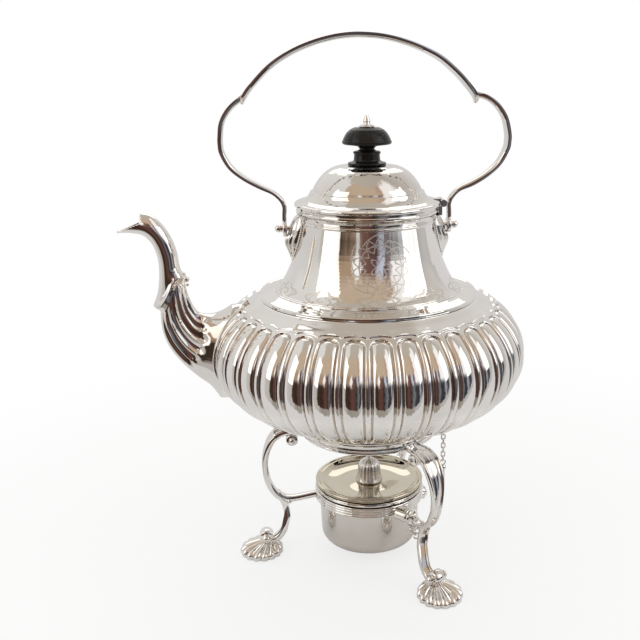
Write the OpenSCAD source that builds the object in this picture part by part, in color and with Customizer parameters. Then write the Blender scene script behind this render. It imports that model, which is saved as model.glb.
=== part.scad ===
// Spirit kettle on stand: a gadrooned kettle with a swan neck spout, a swinging bail handle and a
// hinged lid, resting on a three legged stand that carries a spirit lamp.
// The spout points along -X, the lid hinge is on +X, +Z is up and the table is at z = 0.

/* [Kettle body] */
// Height of the kettle's underside above the table
base_z = 93; // [85:0.5:105]
// Greatest radius of the belly, over the crests of the lobes
belly_r = 100; // [92:0.5:110]
// Height of the widest part above the underside
belly_low = 48; // [42:0.5:54]
// Rise of the belly above its widest part, before it is cut at the shoulder line
belly_high = 40; // [36:0.5:46]
// Radius of the shoulder line, where the shoulder is joined to the belly
shoulder_r = 68.5; // [64:0.5:76]
// Number of lobes around the belly
lobes = 40; // [32:2:44]
// Depth of the grooves between the lobes at the widest part
relief = 2.4; // [1.2:0.1:3]
// Thickness of the sheet that the body is raised from
wall = 1.4; // [1:0.1:2]
// Height of the neck's rim above the underside
rim_h = 140.5; // [136:0.5:148]
// Outer radius of the neck just under its rim
neck_r = 41.5; // [38:0.5:44]

/* [Lid and knob] */
// Overhang of the lid's edge beyond the neck
lid_over = 3.7; // [2.8:0.1:5]
// Height of the dome above the lid's edge
dome_h = 25; // [20:0.5:30]
// Radius of the knob's cap
knob_r = 15.2; // [12:0.1:18]
// Height of the knob
knob_h = 22; // [18:0.5:26]

/* [Handle] */
// Height of the handle's arch above its pivots
handle_h = 115.5; // [110:0.5:122]
// Distance of the handle's widest part from the middle
handle_out = 89.6; // [84:0.1:94]
// Distance of the handle's eyes from the neck
pivot_out = 9.9; // [9.2:0.1:13]
// Height of the pivots below the neck's rim
pivot_drop = 13; // [11:0.5:16]
// Width of the handle's strap
strap_w = 7.4; // [5:0.1:9]
// Thickness of the handle's strap
strap_t = 3.4; // [2.6:0.1:4.4]

/* [Spout] */
// Reach of the spout's tip from the middle of the kettle
spout_reach = 151.5; // [144:0.5:160]
// Thickness of the spout's wall
spout_wall = 1.1; // [0.8:0.1:1.6]
// Radius of the strainer's holes
strain_r = 1.7; // [1:0.1:2.2]

/* [Stand] */
// Radius of the stand ring's top edge
ring_r = 48; // [46.5:0.5:52]
// Height of the stand ring
ring_h = 8.6; // [7:0.1:11]
// Distance of the feet from the middle
foot_out = 77; // [70:0.5:84]
// Radius of a shell foot
shell_r = 14.8; // [12:0.1:18]
// Height of a shell foot
shell_h = 11; // [8:0.5:13]
// Distance of the legs' scrolls from the middle
scroll_out = 69.5; // [66:0.5:76]
// Width of a leg at its shoulder
leg_w = 13.5; // [9:0.5:16]
// Thickness of a leg
leg_t = 4.2; // [3:0.1:5.5]

/* [Lamp] */
// Radius of the lamp's rim
lamp_r = 36.2; // [34:0.1:38]
// Height of the lamp's seat above the table
lamp_seat = 44; // [42:0.5:46]
// Height of the lamp's underside above the table
lamp_low = 6.6; // [3:0.1:9]
// Height of the reeded ring that holds the lamp
reed_h = 7.4; // [6:0.1:9]
// Radius of the snuffer
snuff_r = 8.2; // [7.5:0.1:10]

/* [Pins and chains] */
// Radius of the pins that the handle turns on
pivot_pin_r = 1.6; // [1.2:0.1:2]
// Radius of the lid's hinge pin
lid_pin_r = 0.9; // [0.7:0.05:1.2]
// Radius of the pins that join the kettle to the stand
tilt_pin_r = 1.5; // [1.2:0.1:1.8]
// Radius of a chain link's wire
wire_r = 0.42; // [0.3:0.02:0.5]
// Radius of a chain link's bends
bend_r = 1.25; // [1.1:0.05:1.6]

/* [Fits] */
// Gap round a pin that turns in its bore
run_gap = 0.05; // [0.02:0.01:0.09]
// Gap between pieces that move past each other
gap = 0.3; // [0.2:0.05:0.5]
// Gap between pieces of one body that are soldered together
seam = 0.05; // [0.02:0.01:0.1]

/* [Hidden] */

$fn = 96;
silver = [0.86, 0.84, 0.81];
nickel = [0.76, 0.72, 0.66];
black = [0.03, 0.03, 0.03];
cotton = [0.93, 0.9, 0.82];

// The kettle's axis stands here, so that the whole object is centred on the origin
axis_x = (spout_reach - belly_r) / 2;

// The belly's section is two ellipses that meet at its widest part
mid_z = base_z + belly_low;
low_c = 0.35 * belly_r;
high_c = 0.5 * belly_r;
shoulder_a = acos((shoulder_r - high_c) / (belly_r - high_c));
shoulder_z = mid_z + belly_high * sin(shoulder_a);
floor_r = ring_r - 1.6;
floor_a = acos((floor_r - low_c) / (belly_r - low_c));
floor_z = mid_z - belly_low * sin(floor_a);
plug_r = floor_r - 2;

// Lobes keep their full section up to this angle above the widest part, then end in round tops.
// A band with a scalloped edge lies above the tops, and the body is plain above the band.
lobe_full_a = 41.7;
band_top_a = 53.8;
lobe_fade_r = 0.58 * belly_r;

// Neck, rim and lid
rim_z = base_z + rim_h;
lid_r = neck_r + lid_over;
neck_foot_r = neck_r + 7;
neck_foot_z = rim_z - 35;
collar_r = lid_r - 1.2;
mouth_r = neck_r - wall;
lid_z = rim_z + gap;
dome_z = lid_z + dome_h;
hinge_x = lid_r + 1.6;
hinge_z = lid_z + 1;
knuckle_r = lid_pin_r + 1.3;
knuckle_w = 6;
stem_r = 0.5 * knob_r;

// Handle
pivot_x = neck_r + pivot_out;
pivot_z = rim_z - pivot_drop;
eye_r = 5;
eye_t = 2.6;

// Stand
ring_z = floor_z - gap;
ring_low = ring_z - ring_h;
ring_low_r = ring_r - 4;
ring_wall = 2;
leg_turns = [180, 300, 60];
curl_r = 3.9;
roll_r = 3.3;

// The kettle tips about a pin in the curl of the leg under the spout
tilt_x = ring_low_r + 7.4;
tilt_z = ring_low - 3.5;

// Opposite it, a lug stands between two cheeks and is held by the locking pin
lug_x = ring_r + 4.6;
lug_z = ring_z - 6.2;
lug_r = 3.6;
lug_t = 4;
cheek_r = 4.4;
cheek_t = 2.2;

// Lamp
cup_r = lamp_r - 2.7;
cup_low_r = cup_r - 1;
cup_wall = 1;
reed_in = cup_r + gap;
reed_out = lamp_r + 0.4;
reed_z = lamp_seat - reed_h;
socket_z = reed_z + 0.34 * reed_h;
arm_front = reed_out + 11;
cover_z = lamp_seat + gap + 2.2;
tube_r = snuff_r - 2.4;
tube_top = cover_z + 11;
snuff_z = cover_z + seam + 0.3 + gap;

// A chain link's length and the distance from one link to the next
link_l = 1.6;
link_step = link_l + 2 * bend_r - 2 * wire_r - 0.12;

// Points along a curve through the given points, as a Catmull Rom spline with n steps a stretch
function spline_at(a, b, c, d, t) = 0.5 * (2 * b + (c - a) * t + (2 * a - 5 * b + 4 * c - d) * t * t
    + (3 * b - a - 3 * c + d) * t * t * t);
function smooth(p, n) = [
    for (i = [0 : len(p) - 2])
        for (k = [0 : n - 1])
            spline_at(p[max(i - 1, 0)], p[i], p[i + 1], p[min(i + 2, len(p) - 1)], k / n),
    p[len(p) - 1]
];

// Points of an arc round c from angle a to angle b
function arc(c, r, a, b, n) = [for (k = [0 : n]) let (t = a + (b - a) * k / n) c + r * [cos(t), sin(t)]];

// Direction of a path at point i, square to its neighbours
function heading(p, i) = let (d = p[min(i + 1, len(p) - 1)] - p[max(i - 1, 0)], e = [d[0], d[1]]) e / norm(e);

// A closed skin over rings of equally many points, with flat ends, or closed on itself like a tube
module skin(rings, tube = false) {
    n = len(rings[0]);
    m = len(rings);
    sides = [
        for (i = [0 : tube ? m - 1 : m - 2])
            for (j = [0 : n - 1])
                let (
                    a = i * n + j,
                    b = i * n + (j + 1) % n,
                    c = ((i + 1) % m) * n + (j + 1) % n,
                    d = ((i + 1) % m) * n + j
                )
                each [[a, d, c], [a, c, b]]
    ];
    ends = tube ? [] : [[for (j = [0 : n - 1]) j], [for (j = [n - 1 : -1 : 0]) (m - 1) * n + j]];
    polyhedron(points = [for (r = rings) each r], faces = concat(sides, ends), convexity = 8);
}

// A strap that follows a path in the XZ plane; each point of the path holds x, z, thickness and width
module strap(path, sides = 8) {
    skin([
        for (i = [0 : len(path) - 1])
            let (h = heading(path, i), p = path[i])
            [for (k = [0 : sides - 1])
                let (
                    a = (k + 0.5) * 360 / sides,
                    u = p[2] / 2 * cos(a) / cos(180 / sides),
                    v = p[3] / 2 * sin(a) / cos(180 / sides)
                )
                [p[0] - h[1] * u, -v, p[1] + h[0] * u]]
    ]);
}

// The belly's outer section: radius and height at an angle below or above its widest part
function belly_point(a) = a < 0
    ? [low_c + (belly_r - low_c) * cos(a), mid_z + belly_low * sin(a)]
    : [high_c + (belly_r - high_c) * cos(a), mid_z + belly_high * sin(a)];

// The same section, d inside the crests, as a closed outline for a solid of revolution
function belly_outline(d, low, high, n) = concat(
    [[0, belly_point(low)[1] + d * sin(-low)]],
    [for (k = [0 : n]) let (a = low + (high - low) * k / n, p = belly_point(a))
        [p[0] - d * cos(a), p[1] - d * sin(a)]],
    [[0, belly_point(high)[1] - d * sin(high)]]
);

module at_axis() {
    translate([axis_x, 0, 0]) children();
}

module round_about(angles) {
    for (a = angles) rotate([0, 0, a]) children();
}

// Lying along X, from x = 0 outwards
module rod_x(r, l) {
    rotate([0, 90, 0]) cylinder(r = r, h = l);
}

// Lying along Y and centred
module rod_y(r, l) {
    rotate([90, 0, 0]) cylinder(r = r, h = l, center = true);
}

// A slab cut along an outline in the XZ plane, centred on Y
module slab_y(w) {
    rotate([90, 0, 0]) translate([0, 0, -w / 2]) linear_extrude(w) children();
}

// Stand

// The ring's outer side, from its foot to its top edge
ring_side = concat(
    arc([ring_low_r, ring_low + 1], 0.9, -90, 75, 6),
    arc([ring_low_r, ring_low + 2.9], 0.9, -75, 75, 6),
    smooth([[ring_low_r + 0.5, ring_low + 4.1], [ring_low_r + 1.6, ring_low + 6.2], [ring_r, ring_z - 0.4]], 3)
);

module stand_ring() {
    color(silver) at_axis() rotate_extrude() polygon(concat(
        [[ring_low_r - ring_wall, ring_low + 0.4]],
        ring_side,
        [[ring_r - 0.5, ring_z], [ring_r - ring_wall + 0.3, ring_z - 0.3],
            [ring_low_r - ring_wall + 1.4, ring_low + 6.2], [ring_low_r - ring_wall, ring_low + 3.8]]
    ));
}

// Room that the ring takes, which whatever is soldered to its outside is cut to
module ring_core(room) {
    rotate_extrude() polygon(concat(
        [[0, ring_low - room], [ring_low_r, ring_low - room]],
        [for (p = ring_side) p + [room, 0]],
        [[ring_r + room, ring_z + 20], [0, ring_z + 20]]
    ));
}

// Half circle scroll with its lamp arm, and the lower part of the leg down to its roll
roll_z = shell_h - 0.7;

module leg(arm_end) {
    out = scroll_out;
    scroll = smooth([
        [ring_low_r - 0.4, ring_low + 2, leg_t * 0.8, leg_w * 0.86],
        [ring_low_r + 8, ring_low + 2, leg_t * 0.8, leg_w],
        [out - 11.5, ring_low + 0.8, leg_t * 0.85, leg_w],
        [out - 6.4, ring_low - 2.6, leg_t, leg_w],
        [out - 2.9, ring_low - 8.4, leg_t * 1.05, leg_w * 0.92],
        [out - 0.5, ring_low - 16, leg_t, leg_w * 0.76],
        [out, ring_low - 24, leg_t * 0.95, leg_w * 0.62],
        [out - 1.2, ring_low - 33, leg_t, leg_w * 0.52],
        [out - 4.6, ring_low - 41, leg_t, leg_w * 0.48],
        [out - 9.6, ring_low - 46, leg_t, leg_w * 0.46],
        [out - 17, ring_low - 48, leg_t * 0.9, leg_w * 0.4],
        [arm_end, socket_z, leg_t * 0.85, leg_w * 0.34]
    ], 3);
    lower = smooth([
        [out - 7.6, ring_low - 43, leg_t * 0.9, leg_w * 0.44],
        [out - 11.8, ring_low - 50.5, leg_t, leg_w * 0.48],
        [out - 12.7, ring_low - 58.4, leg_t, leg_w * 0.48],
        [foot_out - 18.2, shell_h + 10, leg_t * 0.95, leg_w * 0.48],
        [foot_out - 15, shell_h + 2.6, leg_t * 0.95, leg_w * 0.5],
        [foot_out - 10.4, shell_h - 1.8, leg_t * 0.9, leg_w * 0.56],
        [foot_out - 4.8, shell_h - 2.2, leg_t * 0.7, leg_w * 0.64]
    ], 3);
    difference() {
        union() {
            strap(scroll);
            strap(lower);
            // Curl under the ring, roll over the shell, and the bead where the leg branches
            translate([tilt_x, 0, tilt_z]) rod_y(curl_r, leg_w);
            translate([foot_out - 4, 0, roll_z]) rod_y(roll_r, leg_w * 0.9);
            translate([out - 15.2, 0, ring_low - 49.4]) rod_y(2, leg_w * 0.5);
        }
        ring_core(seam);
        children();
    }
}

module leg_at(turn, arm_end) {
    color(silver) at_axis() rotate([0, 0, turn]) leg(arm_end) children();
}

// The curl of this leg is slotted for the kettle's lug and bored for the pin that it tips about
module leg_spout_side() {
    slot = lug_t + 2 * gap;
    leg_at(leg_turns[0], reed_out - 0.3) {
        translate([ring_low_r - 4, -slot / 2, tilt_z - 10]) cube([tilt_x + 10.5 - ring_low_r + 4, slot, 30]);
        translate([tilt_x, 0, tilt_z]) rod_y(tilt_pin_r + seam, 40);
    }
}

module leg_front() {
    leg_at(leg_turns[1], arm_front);
}

module leg_rear() {
    leg_at(leg_turns[2], reed_out - 0.3);
}

// A scallop shell lying on the table: ribs run from its top, under the leg's roll, to its scalloped edge.
// Each ring is given by its share of the way out and of the height, and by how far the ribs stand out.
shell_rings = [
    [1, 0, 1], [1.01, 0.14, 1], [0.93, 0.32, 1], [0.74, 0.5, 0.9], [0.5, 0.64, 0.7], [0.24, 0.78, 0.3]
];

module foot_at(turn) {
    ribs = 17;
    columns = 2 * ribs;
    top = [foot_out - 5.5, 0];
    color(silver) at_axis() rotate([0, 0, turn]) difference() {
        skin([
            for (q = shell_rings)
                [for (k = [0 : columns - 1])
                    let (
                        t = k * 360 / columns,
                        crest = k % 2 == 0 ? 1 : -1,
                        r = shell_r * (1 + 0.045 * crest) * (1 - 0.06 * pow(sin(t / 2), 2)),
                        rim = [foot_out - 1 + r * cos(t), r * sin(t)],
                        p = top + (rim - top) * q[0]
                    )
                    [p[0], p[1], q[1] * shell_h + (q[1] > 0 ? 0.5 * crest * q[2] : 0)]]
        ]);
        translate([foot_out - 4, 0, roll_z]) rod_y(roll_r + seam, leg_w);
    }
}

module foot_spout_side() {
    foot_at(leg_turns[0]);
}

module foot_front() {
    foot_at(leg_turns[1]);
}

module foot_rear() {
    foot_at(leg_turns[2]);
}

module lamp_ring() {
    reeds = 4;
    step = (reed_h - 0.6) / reeds;
    color(silver) at_axis() rotate_extrude() polygon(concat(
        [[reed_in, reed_z]],
        [for (i = [0 : reeds - 1])
            each arc([reed_out - step / 2, reed_z + 0.3 + step * (i + 0.5)], step / 2 - 0.05, -80, 80, 6)],
        [[reed_in, lamp_seat]]
    ));
}

socket_r = 3.4;

module lamp_socket() {
    color(silver) at_axis() rotate([0, 0, leg_turns[1]]) difference() {
        translate([reed_out - 0.5, 0, socket_z]) rod_x(socket_r, 8.6);
        translate([reed_out + 1, 0, socket_z]) rod_x(socket_r - 1, 10);
    }
}

// Square bar between the socket and the leg's scroll
module lamp_bar() {
    bar = 3.2;
    from = reed_out + 1 + seam;
    color(silver) at_axis() rotate([0, 0, leg_turns[1]])
        translate([from, -bar / 2, socket_z - bar / 2]) cube([arm_front - seam - from, bar, bar]);
}

module socket_collar() {
    color(silver) at_axis() rotate([0, 0, leg_turns[1]]) translate([reed_out + 6.2, 0, socket_z]) difference() {
        rotate([0, 90, 0]) linear_extrude(3) circle(r = socket_r + 1.7, $fn = 8);
        translate([-1, 0, 0]) rod_x(socket_r + seam, 5);
    }
}

// One link of a chain, standing along Z
module link() {
    for (s = [-1, 1]) {
        translate([s * bend_r, 0, -link_l / 2]) cylinder(r = wire_r, h = link_l, $fn = 24);
        translate([0, 0, s * link_l / 2]) rotate([90, 0, 0]) rotate([0, 0, s > 0 ? 0 : 180])
            rotate_extrude(angle = 180, $fn = 48) translate([bend_r, 0]) circle(r = wire_r, $fn = 24);
    }
}

// Links from one point to another along a sagging line; every second link is turned
module chain(from, to, sag, count) {
    for (i = [0 : count - 1]) {
        t = (i + 0.5) / count;
        d = to - from;
        p = from + d * t - [0, 0, 4 * sag * t * (1 - t)];
        slope = d - [0, 0, 4 * sag * (1 - 2 * t)];
        turn = atan2(slope[1], slope[0]);
        tip = acos(slope[2] / norm(slope));
        translate(p) rotate([0, tip, turn]) rotate([0, 0, i % 2 == 0 ? 0 : 90]) link();
    }
}

module lamp_chain() {
    color(silver) at_axis() rotate([0, 0, leg_turns[1]])
        chain([reed_out + 6, -2, socket_z - socket_r - 2.6], [scroll_out - 15.5, -3, socket_z - 14], 2.5, 5);
}

// Two cheeks on the ring, which the kettle's lug stands between
module stand_cheeks() {
    side = lug_t / 2 + gap;
    color(silver) at_axis() for (s = [0, 1]) mirror([0, s, 0]) difference() {
        union() {
            translate([lug_x, side + cheek_t / 2, lug_z]) rod_y(cheek_r, cheek_t);
            translate([ring_low_r - 1, side, lug_z - cheek_r])
                cube([lug_x - ring_low_r + 1, cheek_t, 2 * cheek_r]);
        }
        translate([lug_x, 0, lug_z]) rod_y(tilt_pin_r + run_gap, 40);
        ring_core(seam);
    }
}

module tilt_pin() {
    color(silver) at_axis() translate([-tilt_x, 0, tilt_z]) {
        rod_y(tilt_pin_r, leg_w + 1.2);
        for (s = [-1, 1]) rotate([s * 90, 0, 0]) translate([0, 0, leg_w / 2 + seam])
            rotate_extrude() polygon(concat([[0, 0]], arc([0, 0], tilt_pin_r + 0.7, 0, 90, 8)));
    }
}

pin_l = lug_t + 2 * gap + 2 * cheek_t + 3;
ring_wire_r = 0.5;
hang_x = lug_x - 3;
hang_y = -(lug_t / 2 + gap + cheek_t + 1.2);
hang_top = lug_z - 1.6;
hang_links = 8;
// The pin's ring hangs in the lowest link
hang_z = hang_top - (hang_links - 0.5) * link_step - link_l / 2 - bend_r + wire_r + ring_wire_r + seam;

// The pin that keeps the kettle from tipping hangs out of its lugs on a short chain
module locking_pin() {
    ring = 1.7;
    ball = 2.3;
    color(silver) at_axis() translate([hang_x, hang_y, hang_z]) {
        translate([0, 0, -ring]) rotate([90, 0, 0])
            rotate_extrude($fn = 48) translate([ring, 0]) circle(ring_wire_r, $fn = 24);
        translate([0, 0, -2 * ring - ball + 0.3]) sphere(r = ball, $fn = 48);
        translate([0, 0, -2 * ring - ball - pin_l]) cylinder(r = tilt_pin_r, h = pin_l);
        translate([0, 0, -2 * ring - ball - pin_l]) sphere(r = tilt_pin_r, $fn = 48);
    }
}

module locking_chain() {
    color(silver) at_axis() {
        for (i = [0 : hang_links - 1])
            translate([hang_x, hang_y, hang_top - (i + 0.5) * link_step])
                rotate([0, 0, i % 2 == 0 ? 0 : 90]) link();
        // Eye on the cheek that the chain hangs from
        translate([hang_x, hang_y + 0.2, hang_top - 0.06]) rod_y(wire_r, 2 - 2 * seam);
    }
}

// Kettle

// Columns across one lobe, as shares of the distance from lobe to lobe: crest, flanks, the groove's two
// edges on each side, and the narrow rib between lobes
lobe_across = [-0.5, -0.41, -0.35, -0.21, 0, 0.21, 0.35, 0.41];
// How far each column lies below the crests, as shares of the relief
lobe_drop = [0.35, 1, 1, 0.2, 0, 0.2, 1, 1];
groove_drop = [0.35, 1, 1, 1, 1, 1, 1, 1];
band_drop = [0.35, 0.35, 0.35, 0.35, 0.35, 0.35, 0.35, 0.35];
plain_drop = 0.6;

// Rise of a round top over a column, as a share of its full rise
function rise(across, half) = abs(across) >= half ? 0 : sqrt(1 - pow(across / half, 2));

// Rows of the belly: angle at the ribs, rise of the round top in degrees, half width of that top, and drops
lobe_rows = concat(
    [for (a = [-floor_a, -56, -33, -10, 15, lobe_full_a]) [a, 0, 0.35, lobe_drop]],
    [
        [lobe_full_a + 1.6, 6, 0.35, [0.35, 1, 1, 0.42, 0.24, 0.42, 1, 1]],
        [lobe_full_a + 2.7, 6, 0.36, groove_drop],
        [lobe_full_a + 6.4, 3, 0.42, band_drop],
        [band_top_a - 3, 2.8, 0.51, band_drop],
        [band_top_a - 2.6, 2.8, 0.51, plain_drop * [1, 1, 1, 1, 1, 1, 1, 1]],
        [0.5 * (band_top_a + shoulder_a), 0, 0.5, 0.5 * plain_drop * [1, 1, 1, 1, 1, 1, 1, 1]],
        [shoulder_a, 0, 0.5, 0.03 * [1, 1, 1, 1, 1, 1, 1, 1]]
    ]
);

function lobe_ring(row) = [
    for (i = [0 : lobes - 1])
        for (k = [0 : 7])
            let (
                a = row[0] + row[1] * rise(lobe_across[k], row[2]),
                p = belly_point(a),
                fade = max(0, min(1, (p[0] - lobe_fade_r) / (0.16 * belly_r))),
                t = (i + lobe_across[k]) * 360 / lobes,
                d = relief * p[0] / belly_r * row[3][k] * (a < 0 ? fade : 1),
                r = p[0] - d * cos(a)
            )
            [r * cos(t), r * sin(t), p[1] - d * sin(a)]
];

module belly_skin() {
    skin([for (row = lobe_rows) lobe_ring(row)]);
}

// Holes in the wall behind the spout keep the leaves back
module strainer() {
    for (row = [-2 : 2])
        for (k = [-2 : 2])
            if (abs(k) + abs(row) < 4)
                translate([
                    -belly_r - 4,
                    (k + (row % 2 == 0 ? 0 : 0.5)) * 3.2 * strain_r,
                    mid_z + row * 3 * strain_r
                ]) rod_x(strain_r, 18, $fn = 32);
}

module belly() {
    color(silver) at_axis() difference() {
        belly_skin();
        rotate_extrude() polygon(concat(
            [[0, floor_z - 1], [plug_r, floor_z - 1], [plug_r, floor_z + wall]],
            [for (a = [-62 : 8 : shoulder_a]) let (p = belly_point(a), d = relief + wall)
                [p[0] - d * cos(a), p[1] - d * sin(a)]],
            [[shoulder_r - 2.6 * wall, shoulder_z], [shoulder_r - 2.6 * wall, shoulder_z + 1],
                [0, shoulder_z + 1]]
        ));
        strainer();
    }
}

// Shoulder and neck in one raised piece, stepped where it meets the belly
module shoulder() {
    top = rim_z - 9.5;
    outer = smooth([
        [shoulder_r - 1.6, shoulder_z + 1.6], [shoulder_r - 10, shoulder_z + 4.6],
        [neck_foot_r + 5, shoulder_z + 9.4],
        [neck_foot_r, neck_foot_z - 1], [neck_foot_r - 3.4, neck_foot_z + 9], [neck_r, top]
    ], 5);
    inner = [for (i = [len(outer) - 1 : -1 : 0]) let (h = heading(outer, i)) outer[i] - wall * [h[1], -h[0]]];
    color(silver) at_axis() rotate_extrude() polygon(concat(
        [[shoulder_r - 2.4 * wall, shoulder_z], [shoulder_r + 0.4, shoulder_z]],
        arc([shoulder_r - 0.6, shoulder_z + 1], 1, -30, 100, 5),
        outer,
        [[neck_r, top], [neck_r - wall, top]],
        [for (i = [1 : len(inner) - 1]) [min(inner[i][0], shoulder_r - 3.4 * wall), inner[i][1]]]
    ));
}

// Mouldings that stiffen the mouth
module collar() {
    low = rim_z - 9.5;
    color(silver) at_axis() rotate_extrude() polygon(concat(
        [[mouth_r, low], [neck_r, low]],
        arc([neck_r + 0.2, low + 1.2], 1.1, -70, 70, 6),
        arc([neck_r + 3.4, low + 3.7], 2.6, 200, 110, 4),
        arc([collar_r - 1.3, rim_z - 2.2], 1.5, -60, 60, 6),
        [[collar_r - 0.6, rim_z], [mouth_r, rim_z]]
    ));
}

// The low rim under the kettle keeps it centred in the stand ring
module kettle_base() {
    rim_in = ring_low_r - ring_wall - 1.9;
    color(silver) at_axis() rotate_extrude() polygon([
        [0, floor_z + 1], [0, floor_z + 1 + wall], [plug_r - 6, floor_z + wall],
        [plug_r - seam, floor_z + wall], [plug_r - seam, floor_z], [rim_in, floor_z],
        [rim_in - 0.4, floor_z - 3.4], [rim_in - 0.9, floor_z - 4], [rim_in - 1.5, floor_z - 4],
        [rim_in - 1.9, floor_z - 3.4], [rim_in - 2.4, floor_z], [rim_in - 6, floor_z + 0.2]
    ]);
}

// The spout's root lies on the belly, and its sections stretch with the distance from there to the tip
root_x = belly_r - 8.5;
spout_stretch = (spout_reach - root_x) / 60;

// Sections of the spout from the belly to the tip: lower edge, upper edge and half width.
// Distances are back from the tip, heights are above the kettle's underside.
spout_sections = [
    [60, 20, 67, 81.5, 16.5], [51.8, 27, 58.5, 79.8, 14.4], [43, 35.6, 50.5, 78.2, 12],
    [34, 43.6, 45, 79.2, 10.4], [26, 54.6, 41.4, 82.8, 9.4], [21.5, 67, 38.2, 91, 8.7],
    [20.2, 77, 37.6, 96, 8.2], [17.2, 87.6, 38.2, 99, 7.9], [21.3, 92, 38.8, 101.4, 7.4],
    [22.1, 98.6, 35.4, 104.4, 6.7], [22.2, 106.4, 34.8, 107.4, 6.5],
    [20.5, 114.6, 33.2, 118, 6.4], [16.6, 123.4, 29, 129.4, 6.3], [10.4, 128.4, 21.8, 138.6, 5.9],
    [5.4, 129.4, 14.4, 141, 4.6], [0, 129.2, 3.6, 136, 1.7]
];

// One ring of the spout; inset moves it inwards by the wall, and leaf gives the reeded lower part its ribs
function spout_ring(s, inset, leaf) =
    let (
        low = [spout_reach - s[0] * spout_stretch, s[1] + base_z],
        high = [spout_reach - s[2] * spout_stretch, s[3] + base_z],
        c = (low + high) / 2,
        v = (high - low) / 2,
        k = max(0.25, 1 - inset / norm(v)),
        b = max(0.4, s[4] - inset)
    )
    [for (j = [0 : 23])
        let (t = j * 15, f = 1 - leaf * (j % 2 == 0 ? 0 : 1), p = c + v * k * f * cos(t))
        [-p[0], b * f * sin(t), p[1]]];

// The first ring lies on the belly
function seat_ring(ring, depth) = [
    for (p = ring)
        let (
            s = (p[2] - mid_z) / (p[2] < mid_z ? belly_low : belly_high),
            c = p[2] < mid_z ? low_c : high_c,
            r = c + (belly_r - c) * sqrt(max(0, 1 - s * s)) - depth
        )
        [-sqrt(max(0, r * r - p[1] * p[1])), p[1], p[2]]
];

module spout() {
    outer = smooth(spout_sections, 2);
    inner = smooth(spout_sections, 1);
    n = len(outer);
    m = len(inner);
    color(silver) at_axis() difference() {
        skin(concat(
            [seat_ring(spout_ring(outer[0], spout_wall, 0), relief / 2)],
            [seat_ring(spout_ring(outer[0], 0, 0), relief / 2)],
            [for (i = [1 : n - 1]) spout_ring(outer[i], 0, i < 16 ? 0.075 * sin(180 * i / 16) : 0)],
            [for (i = [m - 1 : -1 : 1]) spout_ring(inner[i], spout_wall + (i < 8 ? 0.6 : 0), 0)]
        ), tube = true);
        // The mouth is open above its long lower lip
        slab_y(30) polygon([
            [-spout_reach - 3, base_z + 130.4], [-spout_reach + 10, base_z + 134],
            [-spout_reach + 13.6, base_z + 137], [-spout_reach + 14, base_z + 140.6],
            [-spout_reach + 10, base_z + 150], [-spout_reach - 3, base_z + 150]
        ]);
    }
}

// A leaf bracket that carries one end of the handle
module ear() {
    difference() {
        intersection() {
            slab_y(24) polygon(concat(
                [[neck_r - 1, rim_z - 5], [collar_r - 0.5, rim_z - 9.6], [neck_r + 5.5, pivot_z + 6]],
                arc([pivot_x - 6.2, pivot_z], 4.6, 60, -50, 5),
                arc([pivot_x - 5.1, pivot_z - 9.6], 4.6, 30, -50, 5),
                [[neck_r + 6.4, pivot_z - 20], [neck_r + 4.8, pivot_z - 25.5], [neck_r - 1, pivot_z - 25.5]]
            ));
            rotate([90, 0, 90]) linear_extrude(80) polygon(concat(
                arc([0, pivot_z + 2], 8.6, 0, 180, 12),
                [[-6.8, pivot_z - 6], [-6.2, pivot_z - 11], [-3.6, pivot_z - 15], [-3, pivot_z - 20],
                    [0, pivot_z - 27], [3, pivot_z - 20], [3.6, pivot_z - 15], [6.2, pivot_z - 11],
                    [6.8, pivot_z - 6]]
            ));
        }
        neck_core();
        translate([neck_r, 0, pivot_z]) rod_x(pivot_pin_r + seam, 20);
        // Flutes between the leaf's ribs
        for (s = [-1, 1]) translate([pivot_x - 1.2, s * 4.9, pivot_z - 9.6])
            cylinder(r = 1.7, h = 30, center = true);
        translate([pivot_x - 1.6, 0, pivot_z]) rod_x(eye_r + 1, 12);
    }
}

// What the ears, hinge and collar are seated against
module neck_core() {
    outer = smooth([
        [shoulder_r - 10, shoulder_z + 4.6], [neck_foot_r + 5, shoulder_z + 9.4],
        [neck_foot_r, neck_foot_z - 1], [neck_foot_r - 3.4, neck_foot_z + 9], [neck_r, rim_z - 9.5]
    ], 5);
    rotate_extrude() polygon(concat(
        [[0, shoulder_z]],
        [for (p = outer) p + [seam, 0]],
        [[neck_r + 1.4, rim_z - 9.4], [collar_r + 0.3, rim_z - 4.6], [collar_r + 0.3, rim_z + 1],
            [0, rim_z + 1]]
    ));
}

module ear_spout_side() {
    color(silver) at_axis() mirror([1, 0, 0]) ear();
}

module ear_lid_side() {
    color(silver) at_axis() ear();
}

// Lugs under the kettle: the one by the spout turns on the tilt pin, the other takes the locking pin
module kettle_lugs() {
    color(silver) at_axis() for (place = [[-tilt_x, tilt_z], [lug_x, lug_z]])
        difference() {
            union() {
                translate([place[0], 0, place[1]]) rod_y(lug_r, lug_t);
                translate([place[0] - lug_r, -lug_t / 2, place[1]])
                    cube([2 * lug_r, lug_t, ring_z + 8 - place[1]]);
            }
            translate([place[0], 0, place[1]]) rod_y(tilt_pin_r + run_gap, 40);
            rotate_extrude() polygon(belly_outline(0.3 * relief, -floor_a, 0, 16));
            rotate_extrude() polygon([
                [ring_low_r, ring_low + 4.2], [ring_r + gap, ring_z - 1.4], [ring_r + gap, ring_z + 1],
                [0, ring_z + 1]
            ]);
        }
}

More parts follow.
